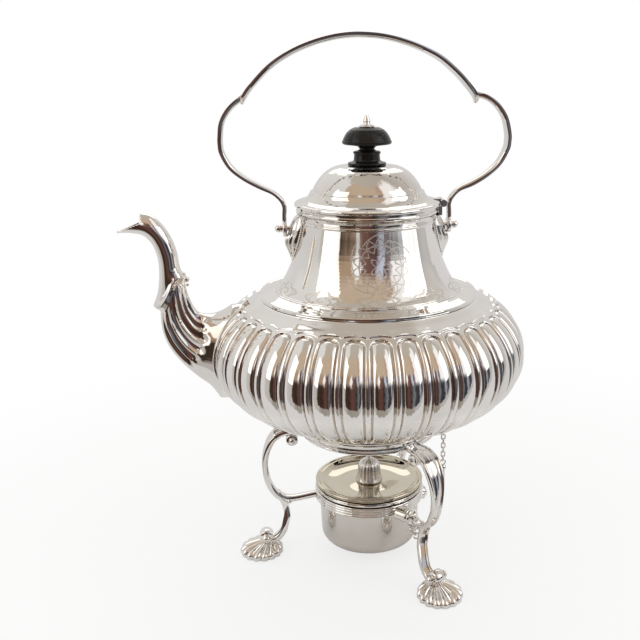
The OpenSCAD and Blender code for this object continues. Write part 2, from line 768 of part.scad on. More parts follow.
// Outer knuckles of the lid's hinge and the plate that holds them on the collar
module hinge_seat() {
    color(silver) at_axis() difference() {
        union() {
            for (s = [-1, 1]) translate([hinge_x, s * (knuckle_w / 2 + gap + 2), hinge_z]) rod_y(knuckle_r, 4);
            translate([collar_r - 1, -knuckle_w / 2 - gap - 4, rim_z - 6])
                cube([2.9, knuckle_w + 2 * gap + 8, 5.4]);
        }
        translate([hinge_x, 0, hinge_z]) rod_y(lid_pin_r + seam, 40);
        translate([hinge_x, 0, hinge_z]) rod_y(knuckle_r + gap, knuckle_w + 2 * gap);
        rotate_extrude() polygon([[0, 0], [collar_r + 0.25, 0], [collar_r + 0.25, rim_z], [0, rim_z]]);
    }
}

module pivot_pins() {
    color(silver) at_axis() for (s = [0, 1]) mirror([s, 0, 0]) {
        translate([neck_r + 1.5, 0, pivot_z]) rod_x(pivot_pin_r, pivot_x + eye_t - neck_r);
        translate([pivot_x + eye_t / 2 + gap, 0, pivot_z]) rotate([0, 90, 0]) rotate_extrude(angle = 360)
            polygon(concat([[0, 0], [2.3, 0], [2.3, 0.6]], arc([0, 2.1], 2.4, -20, 80, 6), [[0, 4.7]]));
    }
}

// Handle

// The handle's middle line on one side, about its pivots: an arm, a side lobe and, above a corner, the arch.
// Points of the lobe and arch are shares of the handle's reach and height.
handle_lobe = [
    [0.75, 0.233], [0.85, 0.277], [0.94, 0.335], [0.991, 0.407], [1, 0.45], [0.999, 0.49], [0.983, 0.567],
    [0.925, 0.637], [0.83, 0.695]
];
handle_arch = [
    [0.83, 0.695], [0.772, 0.749], [0.651, 0.844], [0.512, 0.911], [0.367, 0.959], [0.226, 0.988],
    [0.1, 0.998], [0, 1]
];

module handle() {
    reach = [handle_out - strap_t / 2, handle_h - strap_t / 2];
    function at(p) = [p[0] * reach[0], p[1] * reach[1]];
    flat = concat(
        smooth(concat(
            [[pivot_x, 0], [pivot_x, 5.4], [pivot_x - 0.1, 9.6], [pivot_x - 0.2, 13.6], [pivot_x + 1.6, 17.8],
                [pivot_x + 6.4, 22.3]],
            [for (p = handle_lobe) at(p)]
        ), 2),
        [for (p = smooth(handle_arch, 2)) at(p)]
    );
    last = len(flat) - 1;
    corner = [for (i = [1 : last]) if (norm(flat[i] - flat[i - 1]) > 0.01) i];
    half = [for (i = concat([0], corner)) let (p = flat[i], t = min(1, p[1] / 20))
        [p[0], p[1] + pivot_z, strap_t * (0.75 + 0.25 * t), strap_w * (0.72 + 0.28 * t)]];
    path = concat(half, [for (i = [len(half) - 2 : -1 : 0]) [-half[i][0], half[i][1], half[i][2], half[i][3]]]);
    color(silver) at_axis() {
        difference() {
            strap(path);
            for (s = [-1, 1]) translate([s * pivot_x - 10, 0, pivot_z]) rod_x(eye_r - 1, 20);
        }
        for (s = [-1, 1]) difference() {
            translate([s * pivot_x - eye_t / 2, 0, pivot_z]) rod_x(eye_r, eye_t);
            translate([s * pivot_x - eye_t, 0, pivot_z]) rod_x(pivot_pin_r + run_gap, 2 * eye_t);
        }
    }
}

// Lid

lid_wall = 1.2;

module lid_dome() {
    outer = concat(
        [[lid_r - 1, lid_z]],
        arc([lid_r - 1.3, lid_z + 1.3], 1.3, -60, 80, 6),
        smooth([[lid_r - 3.6, lid_z + 3], [lid_r - 6.4, lid_z + 4.2], [lid_r - 8.8, lid_z + 6.6],
            [lid_r - 10, lid_z + 9]], 4),
        smooth([[lid_r - 11.4, lid_z + 9.3], [lid_r - 12.6, lid_z + 12.2], [lid_r - 15.6, lid_z + 16.6],
            [lid_r - 19.8, lid_z + 20.8], [lid_r - 25.6, lid_z + 23.8], [12, dome_z - 0.3]], 4),
        [[0, dome_z]]
    );
    color(silver) at_axis() difference() {
        rotate_extrude() polygon(concat(outer, [
            [0, dome_z - lid_wall], [12, dome_z - 0.4 - lid_wall], [lid_r - 27, lid_z + 21.4],
            [lid_r - 21.4, lid_z + 17.8], [lid_r - 16.6, lid_z + 12], [lid_r - 12.4, lid_z + 6],
            [lid_r - 9.4, lid_z + 2.6], [lid_r - 6, lid_z]
        ]));
        translate([hinge_x, 0, hinge_z]) rod_y(knuckle_r + gap, knuckle_w + 8 + 4 * gap);
        cylinder(r = 2.1, h = 400);
    }
}

// The ring under the lid that drops into the mouth
module lid_skirt() {
    out = mouth_r - 0.9;
    color(silver) at_axis() rotate_extrude() polygon([
        [out, lid_z - 5.4], [out, lid_z - seam - 0.2], [out - 1.2, lid_z - seam - 0.2], [out - 1.2, lid_z - 5.4]
    ]);
}

module lid_knuckle() {
    color(silver) at_axis() difference() {
        union() {
            translate([hinge_x, 0, hinge_z]) rod_y(knuckle_r, knuckle_w);
            translate([lid_r - 5, -knuckle_w / 2, hinge_z + knuckle_r - 1])
                cube([hinge_x - lid_r + 5, knuckle_w, 1]);
        }
        translate([hinge_x, 0, hinge_z]) rod_y(lid_pin_r + run_gap, 40);
        rotate_extrude() polygon(concat(
            [[0, 0], [lid_r - 2, 0]],
            [for (p = arc([lid_r - 1.3, lid_z + 1.3], 1.3 + seam, -60, 80, 6)) [min(p[0], lid_r - 1), p[1]]],
            [[lid_r - 3.6, lid_z + 3 + seam], [lid_r - 7, lid_z + 4.5], [0, lid_z + 30]]
        ));
    }
}

module hinge_pin() {
    color(silver) at_axis() translate([hinge_x, 0, hinge_z]) rod_y(lid_pin_r, knuckle_w + 2 * gap + 8.6);
}

module knob_stem() {
    color(black) at_axis() translate([0, 0, dome_z + seam]) difference() {
        rotate_extrude() polygon(concat(
            [[0, 0], [stem_r + 4.2, 0]],
            arc([stem_r + 3.6, 0.6], 0.6, -60, 80, 4),
            [[stem_r + 1.6, 1.8], [stem_r + 0.7, 2.4], [stem_r + 0.5, 3], [stem_r + 0.3, 5.6]],
            arc([stem_r, 7.1], 0.9, -60, 80, 6),
            [[stem_r - 1.6, 8.3], [stem_r - 2.9, 9], [stem_r - 2.9, 9.8], [0.4 * knob_r, 11], [0, 11]]
        ));
        translate([0, 0, -1]) cylinder(r = 1.7, h = 40);
    }
}

module knob_cap() {
    grooves = 8;
    h = knob_h - 11;
    color(black) at_axis() translate([0, 0, dome_z + seam + 11 + seam]) difference() {
        rotate_extrude() polygon(concat(
            [[0, 0], [0.42 * knob_r, 0], [0.7 * knob_r, 0.06 * h]],
            arc([knob_r - 1.4, 0.22 * h], 1.4, -70, 50, 6),
            [[0.94 * knob_r, 0.42 * h], [0.88 * knob_r, 0.58 * h], [0.8 * knob_r, 0.74 * h],
                [0.68 * knob_r, 0.89 * h], [0.52 * knob_r, h], [0, h]]
        ));
        round_about([for (i = [0 : grooves - 1]) i * 360 / grooves])
            translate([knob_r + 1.8, 0, 0.5 * h]) rotate([0, -38, 0]) cylinder(r = 2.4, h = 40, center = true);
        translate([0, 0, -1]) cylinder(r = 1.7, h = 40);
    }
}

// Silver washer and point on the knob, on a rod that runs down through the lid
module finial() {
    top = dome_z + 2 * seam + knob_h;
    color(silver) at_axis() {
        translate([0, 0, top + seam]) rotate_extrude() polygon([
            [0, 0], [4.6, 0], [4.8, 0.6], [4.2, 1.4], [2.2, 1.8], [1.9, 2.6], [2.3, 3.6], [1.8, 5.2], [1, 7.2],
            [0, 7.8]
        ]);
        translate([0, 0, dome_z - 7]) cylinder(r = 1.6, h = top + 1 - dome_z + 7);
    }
}

module knob_nut() {
    color(nickel) at_axis() translate([0, 0, dome_z - lid_wall - 3.4]) difference() {
        linear_extrude(2.6) circle(r = 4.4, $fn = 6);
        translate([0, 0, -1]) cylinder(r = 1.6 + seam, h = 6);
    }
}

// Lamp

module lamp_cup() {
    seat = lamp_seat + gap;
    low = lamp_low;
    color(nickel) at_axis() rotate_extrude() polygon(concat(
        [[0, low], [cup_low_r - 9, low]],
        arc([cup_low_r - 7, low + 7], 7, -80, -5, 7),
        [[cup_r, lamp_seat - reed_h], [cup_r, seat], [lamp_r - 0.6, seat]],
        arc([lamp_r - 1, seat + 1], 1, -60, 60, 5),
        [[lamp_r - 0.8, cover_z], [cup_r - cup_wall, cover_z], [cup_r - cup_wall, lamp_seat - reed_h],
            [cup_low_r - cup_wall, low + 8]],
        arc([cup_low_r - 7, low + 7], 7 - cup_wall, -5, -80, 7),
        [[cup_low_r - 9, low + cup_wall], [0, low + cup_wall]]
    ));
}

// Cover with a dished top, which plugs the cup and carries the wick
module lamp_cover() {
    z = cover_z + seam;
    plug = cup_r - cup_wall - seam;
    dish = lamp_r - 2.6;
    color(nickel) at_axis() rotate_extrude() polygon(concat(
        [[plug - 1, z - 5], [plug, z - 5], [plug, z], [lamp_r - 0.6, z]],
        arc([lamp_r - 1, z + 1], 1, -60, 70, 5),
        arc([lamp_r - 1.6, z + 2.4], 0.7, 0, 150, 5),
        [for (k = [0 : 6]) let (t = k / 6, r = dish + (tube_r + 0.5 - dish) * t)
            [r, z + 2 - 3.4 * sin(150 * t)]],
        [[tube_r + seam, z + 0.2], [tube_r + seam, z - 3.4], [dish - 6, z - 3], [plug - 1, z - 1.4]]
    ));
}

module wick_tube() {
    color(nickel) at_axis() difference() {
        translate([0, 0, cover_z - 12]) cylinder(r = tube_r, h = tube_top - cover_z + 12);
        translate([0, 0, cover_z - 13]) cylinder(r = tube_r - 1, h = 60);
    }
}

module wick() {
    color(cotton) at_axis() translate([0, 0, lamp_low + 3])
        cylinder(r = tube_r - 1 - seam, h = tube_top + 1.4 - lamp_low - 3);
}

// Cap that stands over the wick and puts out the flame
module snuffer() {
    top = tube_top + 1.4 + 1;
    color(nickel) at_axis() rotate_extrude() polygon(concat(
        [[tube_r + gap, snuff_z], [snuff_r + 0.5, snuff_z], [snuff_r + 0.5, snuff_z + 0.9],
            [snuff_r - 0.3, snuff_z + 1.6], [snuff_r - 0.3, top - 1.4]],
        arc([snuff_r - 3.3, top - 1.4], 3, 0, 80, 5),
        [[2, top + 2.2], [1.1, top + 2.8], [2, top + 3.9], [1.4, top + 5.2], [0, top + 5.6], [0, top],
            [tube_r + gap, top]]
    ));
}

stand_ring();
leg_spout_side();
leg_front();
leg_rear();
foot_spout_side();
foot_front();
foot_rear();
lamp_ring();
lamp_socket();
lamp_bar();
socket_collar();
lamp_chain();
stand_cheeks();
tilt_pin();
locking_pin();
locking_chain();
belly();
shoulder();
collar();
kettle_base();
spout();
ear_spout_side();
ear_lid_side();
kettle_lugs();
hinge_seat();
pivot_pins();
handle();
lid_dome();
lid_skirt();
lid_knuckle();
hinge_pin();
knob_stem();
knob_cap();
finial();
knob_nut();
lamp_cup();
lamp_cover();
wick_tube();
wick();
snuffer();
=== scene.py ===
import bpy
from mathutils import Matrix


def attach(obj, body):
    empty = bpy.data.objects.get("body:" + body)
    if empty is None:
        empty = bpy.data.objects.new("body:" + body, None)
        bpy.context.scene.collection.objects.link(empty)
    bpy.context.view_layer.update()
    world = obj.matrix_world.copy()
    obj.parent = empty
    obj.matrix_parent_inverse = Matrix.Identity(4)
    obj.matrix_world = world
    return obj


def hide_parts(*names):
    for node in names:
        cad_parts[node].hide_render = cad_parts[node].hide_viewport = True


bl_info = {
    "name": "Spirit Kettle on Stand",
    "version": (1, 0, 0),
    "blender": (4, 5, 0),
    "location": "View3D > Sidebar > Kettle",
    "description": "Finishes a silver plated spirit kettle, its stand and its lamp round their packed solids",
    "category": "Object",
}

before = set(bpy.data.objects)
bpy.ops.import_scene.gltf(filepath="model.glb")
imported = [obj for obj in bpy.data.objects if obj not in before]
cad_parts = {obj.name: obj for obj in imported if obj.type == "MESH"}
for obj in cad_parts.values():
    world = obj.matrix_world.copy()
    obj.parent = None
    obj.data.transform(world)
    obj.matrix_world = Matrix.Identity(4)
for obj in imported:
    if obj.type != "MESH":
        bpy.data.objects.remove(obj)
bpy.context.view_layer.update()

import math

import bmesh
import bpy
from mathutils import Matrix, Vector

MM = 0.001
AXIS_X = 25.75

# The photograph's camera, in millimetres about the kettle's axis
CAMERA_AT = (-62.39, -533.83, 314.31)
CAMERA_HEADING = (0.12187, 0.99255)
CAMERA_DOWN = math.radians(16.004)
CAMERA_ROLL = math.radians(-0.28)
CAMERA_LENS = 48.855
CAMERA_SHIFT = (-0.08266, -0.00143)

# Sizes that the solids also have, in millimetres about the kettle's axis
BASE_Z = 93
BELLY_R = 100
MID_Z = 141
LOW_R, LOW_H = 35, 48
HIGH_R, HIGH_H = 50, 40
SHOULDER_R = 68.5
FLOOR_R = 46.4
NECK_R = 41.5
PIVOT_X = 51.4
PIVOT_Z = 220.5
SPOUT_REACH = 151.5
SPOUT_ROOT = 91.5
RING_LOW_R = 44
FLOOR_Z = MID_Z - LOW_H * math.sin(math.acos((FLOOR_R - LOW_R) / (BELLY_R - LOW_R)))
RING_LOW = FLOOR_Z - 0.3 - 8.6
SCROLL_OUT = 69.5
FOOT_OUT = 77
SHELL_H = 11
SOCKET_Z = 44 - 7.4 + 0.34 * 7.4
REED_OUT = 36.6
TILT_X = RING_LOW_R + 7.4
TILT_Z = RING_LOW - 3.5
LEG_TURNS = {"spout_side": 180, "front": 300, "rear": 60}
# Sizes of the visible belly alone: half height of its underside, radius of its foot band, and the lugs' roots
UNDER_H = 44
BAND_R = 47.6
LUG_X = 52.6
LUG_SIZE = (7.1, 3.96)
# How far each foot stands from its leg's own plane, in the photograph
FOOT_STRAY = {"spout_side": (2.5, -3.2), "front": (-2.8, -4.9), "rear": (0.0, 0.0)}

LAMP_NODES = ("knob_nut", "lamp_cup", "lamp_cover", "wick_tube", "snuffer")
KNOB_NODES = ("knob_stem", "knob_cap")


# Curves

def smooth_path(points, steps):
    """Points on a smooth curve through the given ones, which may hold any number of values each."""
    path = []
    last = len(points) - 1
    for i in range(last):
        a, b = points[max(i - 1, 0)], points[i]
        c, d = points[i + 1], points[min(i + 2, last)]
        for k in range(steps):
            t = k / steps
            path.append(tuple(
                0.5 * (2 * q + (r - p) * t + (2 * p - 5 * q + 4 * r - s) * t * t
                       + (3 * q - p - 3 * r + s) * t ** 3)
                for p, q, r, s in zip(a, b, c, d)))
    path.append(tuple(points[-1]))
    return path


def ease(t):
    t = min(1.0, max(0.0, t))
    return t * t * (3 - 2 * t)


def belly_point(a):
    """Radius and height of the belly's crests, a degrees above or below its widest part."""
    turn = math.radians(a)
    centre, height = (LOW_R, UNDER_H) if a < 0 else (HIGH_R, HIGH_H)
    return centre + (BELLY_R - centre) * math.cos(turn), MID_Z + height * math.sin(turn)


def belly_radius(z):
    """Radius of the belly at a height."""
    centre, height = (LOW_R, UNDER_H) if z < MID_Z else (HIGH_R, HIGH_H)
    share = (z - MID_Z) / height
    return centre + (BELLY_R - centre) * math.sqrt(max(0.0, 1 - share * share))


def round_axis(r, turn, z):
    return Vector((r * math.cos(turn), r * math.sin(turn), z))


# Mesh building

def first_ring(bm, places):
    made = bmesh.ops.create_circle(bm, segments=len(places), radius=1.0)["verts"]
    for vert, place in zip(made, places):
        vert.co = place
    edges = list({edge for vert in made for edge in vert.link_edges})
    return made, edges


def next_ring(bm, ring, edges, places):
    made = bmesh.ops.extrude_edge_only(bm, edges=edges)["geom"]
    fresh = {item for item in made if isinstance(item, bmesh.types.BMVert)}
    upper = []
    for vert, place in zip(ring, places):
        partner = next(e.other_vert(vert) for e in vert.link_edges if e.other_vert(vert) in fresh)
        partner.co = place
        upper.append(partner)
    edges = [item for item in made if isinstance(item, bmesh.types.BMEdge)
             and item.verts[0] in fresh and item.verts[1] in fresh]
    return upper, edges


def loft(bm, rings, low_cap=True):
    """Skin over rings of equally many points, extruded from ring to ring."""
    ring, edges = first_ring(bm, rings[0])
    if low_cap:
        bmesh.ops.contextual_create(bm, geom=edges)
    for places in rings[1:]:
        ring, edges = next_ring(bm, ring, edges, places)
    bmesh.ops.contextual_create(bm, geom=edges)


def sweep(bm, path, outline, turn=None, shift=0.0):
    """Loft of an outline along a path in the XZ plane, whose points hold x, z, thickness and width."""
    rings = []
    last = len(path) - 1
    for i, (x, z, thick, wide) in enumerate(path):
        ahead = Vector((path[min(i + 1, last)][0] - path[max(i - 1, 0)][0],
                        path[min(i + 1, last)][1] - path[max(i - 1, 0)][1]))
        ahead.normalize()
        places = [Vector((x - ahead.y * u * thick, shift - v * wide, z + ahead.x * u * thick))
                  for u, v in outline]
        if turn is not None:
            places = [turn @ place for place in places]
        rings.append(places)
    loft(bm, rings)


def turned(bm, outline, centre, axis, steps=48):
    """Solid of revolution. Its outline of radii and distances along the axis is a loop or ends on it."""
    axis = Vector(axis).normalized()
    side = axis.orthogonal().normalized()
    verts = [bm.verts.new(Vector(centre) + side * r + axis * h) for r, h in outline]
    edges = [bm.edges.new(pair) for pair in zip(verts, verts[1:])]
    if outline[0][0] > 0 and outline[-1][0] > 0:
        edges.append(bm.edges.new((verts[-1], verts[0])))
    bmesh.ops.spin(bm, geom=verts + edges, cent=centre, axis=axis, angle=2 * math.pi, steps=steps,
                   use_merge=True)


def wire_section(r, h, size):
    """Section of a round wire at a distance from the axis and a height."""
    return [(r + size * math.cos(k * math.pi / 4), h + size * math.sin(k * math.pi / 4)) for k in range(8)]


def wire_loop(bm, points, radius, sides=10):
    """Round wire through points that end where they start."""
    rings = []
    last = len(points) - 1
    up = Vector((0, 1, 0))
    for i, point in enumerate(points):
        ahead = (points[min(i + 1, last)] - points[max(i - 1, 0)]).normalized()
        side = ahead.cross(up).normalized()
        up = side.cross(ahead).normalized()
        turns = [k * 2 * math.pi / sides for k in range(sides)]
        rings.append([point + (side * math.cos(turn) + up * math.sin(turn)) * radius for turn in turns])
    loft(bm, rings)


def add_piece(bm, name, body, *swaps, slot="silver_plate", finish="plate_polished", crease=38, doubles=1e-3):
    """Closes a mesh in millimetres about the kettle's axis and hangs it on its body in place of solids."""
    bmesh.ops.remove_doubles(bm, verts=bm.verts, dist=doubles)
    bmesh.ops.recalc_face_normals(bm, faces=bm.faces)
    bmesh.ops.transform(bm, matrix=Matrix.Scale(MM, 4) @ Matrix.Translation((AXIS_X, 0, 0)), verts=bm.verts)
    for face in bm.faces:
        face.smooth = True
    for edge in bm.edges:
        edge.smooth = edge.calc_face_angle(0.0) < math.radians(crease)
    mesh = bpy.data.meshes.new(name)
    bm.to_mesh(mesh)
    bm.free()
    mesh.materials.append(made_material(finish))
    piece = bpy.data.objects.new(name, mesh)
    bpy.context.scene.collection.objects.link(piece)
    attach(piece, body)
    if swaps:
        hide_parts(*swaps)
    return piece


# Nodes

def feed(tree, socket, value):
    """Links another node's value to a socket, or sets a plain number or colour there."""
    value = getattr(value, "socket", value)
    if isinstance(value, bpy.types.NodeSocket):
        tree.links.new(value, socket)
    else:
        socket.default_value = (*value, 1) if isinstance(value, tuple) else value


def node_of(tree, kind, inputs=None, **values):
    node = tree.nodes.new(kind)
    for key, value in values.items():
        setattr(node, key, value)
    for key, value in (inputs or {}).items():
        feed(tree, node.inputs[key], value)
    return node


class Number:
    """A socket's value, for which plain arithmetic adds math nodes."""

    def __init__(self, tree, socket):
        self.tree, self.socket = tree, socket

    def math(self, operation, *others, clamp=False):
        node = node_of(self.tree, "ShaderNodeMath", operation=operation, use_clamp=clamp)
        for socket, value in zip(node.inputs, (self, *others)):
            feed(self.tree, socket, value)
        return Number(self.tree, node.outputs["Value"])

    def __add__(self, other):
        return self.math("ADD", other)

    def __sub__(self, other):
        return self.math("SUBTRACT", other)

    def __mul__(self, other):
        return self.math("MULTIPLY", other)

    def __truediv__(self, other):
        return self.math("DIVIDE", other)


def length_of(u, v):
    return (u * u + v * v).math("SQRT")


def axes_of(tree, place):
    parts = node_of(tree, "ShaderNodeSeparateXYZ", {"Vector": place})
    return [Number(tree, parts.outputs[key]) for key in "XYZ"]


def noise_of(tree, place, scale, detail):
    return node_of(tree, "ShaderNodeTexNoise", {"Vector": place, "Scale": scale, "Detail": detail})


def ranged(tree, value, low, high, to_low=0.0, to_high=1.0, smooth=False):
    span = node_of(tree, "ShaderNodeMapRange", {
        "Value": value, "From Min": low, "From Max": high, "To Min": to_low, "To Max": to_high,
    }, interpolation_type="SMOOTHSTEP" if smooth else "LINEAR")
    return span.outputs["Result"]


def mixed(tree, factor, below, above):
    node = node_of(tree, "ShaderNodeMix", data_type="RGBA")
    for key, value in (("Factor", factor), ("A", below), ("B", above)):
        feed(tree, node.inputs[key], value)
    return node.outputs["Result"]


def mixed_shader(tree, factor, below, above):
    node = node_of(tree, "ShaderNodeMixShader", {"Fac": factor})
    feed(tree, node.inputs[1], below)
    feed(tree, node.inputs[2], above)
    return node.outputs["Shader"]


# Materials

def new_material(name):
    """A node material, with its tree, its shader and the object's own coordinates."""
    material = bpy.data.materials.new(name)
    material.use_nodes = True
    tree = material.node_tree
    place = node_of(tree, "ShaderNodeTexCoord").outputs["Object"]
    return material, tree, tree.nodes["Principled BSDF"], place


def feed_all(tree, shader, **inputs):
    for key, value in inputs.items():
        feed(tree, shader.inputs[key.replace("_", " ")], value)


def plate_material(name, colour, tarnish, dull, grooved=False, engraved=False):
    """Polished plate: faint wear in its polish, tarnish that gathers in patches and in grooves."""
    material, tree, shader, place = new_material(name)
    cloud = noise_of(tree, place, 22, 5).outputs["Fac"]
    amount = ranged(tree, cloud, 0.46, 0.78, to_high=0.35)
    if grooved:
        depth = node_of(tree, "ShaderNodeAttribute", attribute_name="groove_depth")
        amount = Number(tree, depth.outputs["Fac"]).math("MULTIPLY_ADD", 0.75, amount, clamp=True)
    tint = mixed(tree, amount, colour, tarnish)
    fine = noise_of(tree, place, 160, 4).outputs["Fac"]
    rough = ranged(tree, fine, 0.3, 0.7, dull * 0.6, dull * 1.5)
    dents = {"Strength": 0.04, "Distance": 0.0004, "Height": cloud}
    normal = node_of(tree, "ShaderNodeBump", dents).outputs["Normal"]
    if engraved:
        lines = shoulder_lines(tree, place)
        tint = mixed(tree, lines * 0.6, tint, FROSTED)
        rough = Number(tree, rough).math("MAXIMUM", lines * 0.42)
        cuts = {"Strength": 0.7, "Distance": 0.0004, "Height": lines, "Normal": normal}
        normal = node_of(tree, "ShaderNodeBump", cuts, invert=True).outputs["Normal"]
    feed_all(tree, shader, Metallic=1.0, Base_Color=tint, Roughness=rough, Normal=normal)
    return material


def knob_material(name, colour):
    material, tree, shader, place = new_material(name)
    grain = noise_of(tree, place, 240, 6).outputs["Fac"]
    tint = mixed(tree, grain, colour, (colour[0] * 2.4, colour[1] * 2.1, colour[2] * 1.9))
    feed_all(tree, shader, Base_Color=tint, Roughness=ranged(tree, grain, 0, 1, 0.14, 0.34),
             Specular_IOR_Level=0.22, Coat_Weight=0.18, Coat_Roughness=0.08)
    return material


def cotton_material(name, colour):
    material, tree, shader, place = new_material(name)
    strands = node_of(tree, "ShaderNodeTexWave", {"Vector": place, "Scale": 900, "Distortion": 2},
                      bands_direction="DIAGONAL").outputs["Fac"]
    tint = mixed(tree, strands, (colour[0] * 0.6, colour[1] * 0.55, colour[2] * 0.45), colour)
    bump = node_of(tree, "ShaderNodeBump", {"Strength": 0.5, "Distance": 0.0005, "Height": strands})
    feed_all(tree, shader, Base_Color=tint, Roughness=0.95, Normal=bump.outputs["Normal"])
    return material


def made_material(name):
    """The named finish, made once for all the pieces that have it."""
    if name in bpy.data.materials and bpy.data.materials[name].get("kettle_finish"):
        return bpy.data.materials[name]
    finish = bpy.context.scene.kettle_finish
    silver, tarnish, dull = tuple(finish.silver_colour), tuple(finish.tarnish_colour), finish.polish
    makers = {
        "plate_polished": lambda: plate_material(name, silver, tarnish, dull),
        "plate_lobed": lambda: plate_material(name, silver, tarnish, dull, grooved=True),
        "plate_engraved": lambda: plate_material(name, silver, tarnish, dull, engraved=True),
        "plate_lamp": lambda: plate_material(name, tuple(finish.lamp_colour), tarnish, dull * 1.3),
        "plate_cover": lambda: plate_material(name, tuple(finish.cover_colour), tarnish, dull * 1.3),
        "plate_snuffer": lambda: plate_material(name, silver, tarnish, dull * 8),
        "knob_gloss": lambda: knob_material(name, tuple(finish.knob_colour)),
        "wick_cotton": lambda: cotton_material(name, tuple(finish.wick_colour)),
    }
    material = makers[name]()
    material["kettle_finish"] = True
    return material


# Colour of the frosted ground in engraved lines, and places of the engraving in metres: how many scrolls,
# their middle line's radius, half their height and where they end; the wreath's place round the axis and
# up the neck, half its width and the neck's radius there
FROSTED = (0.66, 0.61, 0.54)
SCROLLS = 10
SCROLL_R, SCROLL_HALF, SCROLL_TOP = 0.0555, 0.0042, 0.19
WREATH_TURN = math.radians(87)
WREATH_Z, WREATH_HALF, WREATH_R = 0.2045, 0.0185, 0.044


def shoulder_lines(tree, place):
    """Foliate scrolls cut in the shoulder and a wreath on the neck, as fine lines round the axis."""
    x, y, z = axes_of(tree, place)
    x = x - AXIS_X * MM
    around = y.math("ARCTAN2", x)
    # Each scroll is a spiral in its own cell, and turns the other way from its neighbour
    cell = around * (SCROLLS / math.tau) + 40.0
    hand = cell.math("FLOOR").math("MODULO", 2) * 2 - 1
    u = (cell.math("FRACT") - 0.5) * hand * 2.6
    v = (length_of(x, y) - SCROLL_R) * (1 / SCROLL_HALF)
    far = length_of(u, v)
    turn = v.math("ARCTAN2", u) / math.tau
    stem = (far * 2.2 + turn).math("FRACT").math("COMPARE", 0.5, 0.14)
    petal = (turn * (10 * math.pi)).math("SINE") * 0.16
    leaf = (far + petal).math("COMPARE", 0.8, 0.09)
    lines = (stem * far.math("LESS_THAN", 0.7)).math("MAXIMUM", leaf) * z.math("LESS_THAN", SCROLL_TOP)
    # The wreath is a ring of leaves on a vine round a small flower, with tendrils outside it
    u = (around + WREATH_TURN) * (WREATH_R / WREATH_HALF)
    v = (z - WREATH_Z) * (1 / WREATH_HALF)
    far = length_of(u, v)
    turn = v.math("ARCTAN2", u)
    off_ring = (far - 0.66).math("ABSOLUTE")
    leaves = off_ring.math("COMPARE", ((turn * 7).math("SINE") * 0.19).math("ABSOLUTE"), 0.026)
    vine = off_ring.math("COMPARE", 0.0, 0.02)
    flower = far.math("COMPARE", (turn * 5).math("COSINE") * 0.10 + 0.24, 0.028)
    coil = (far * 4 + turn * (6 / math.tau)).math("FRACT")
    tendrils = coil.math("COMPARE", 0.5, 0.07) * far.math("COMPARE", 0.94, 0.11)
    for part in (leaves, vine, flower, tendrils):
        lines = lines.math("MAXIMUM", part)
    return lines


# Settings

class KettleSizes(bpy.types.PropertyGroup):
    lobes: bpy.props.IntProperty(
        name="Lobes", description="Number of lobes around the belly", default=36, min=24, max=60)
    relief: bpy.props.FloatProperty(
        name="Relief", description="Depth of the grooves between the lobes",
        default=2.4 * MM, min=0.0005, max=0.004, unit="LENGTH")
    strap_width: bpy.props.FloatProperty(
        name="Handle width", description="Width of the handle's strap",
        default=7.4 * MM, min=0.004, max=0.012, unit="LENGTH")
    strap_thickness: bpy.props.FloatProperty(
        name="Handle thickness", description="Thickness of the handle's strap",
        default=3.4 * MM, min=0.002, max=0.005, unit="LENGTH")
    leg_width: bpy.props.FloatProperty(
        name="Leg width", description="Width of a leg at its shoulder",
        default=13.5 * MM, min=0.009, max=0.016, unit="LENGTH")
    leg_thickness: bpy.props.FloatProperty(
        name="Leg thickness", description="Thickness of a leg",
        default=4.2 * MM, min=0.002, max=0.006, unit="LENGTH")
    shell_radius: bpy.props.FloatProperty(
        name="Shell radius", description="Radius of a shell foot",
        default=13.9 * MM, min=0.012, max=0.018, unit="LENGTH")
    shell_ribs: bpy.props.IntProperty(
        name="Shell ribs", description="Number of ribs on a shell foot", default=15, min=9, max=25)
    spout_wall: bpy.props.FloatProperty(
        name="Spout wall", description="Thickness of the spout's wall",
        default=1.1 * MM, min=0.0006, max=0.002, unit="LENGTH")


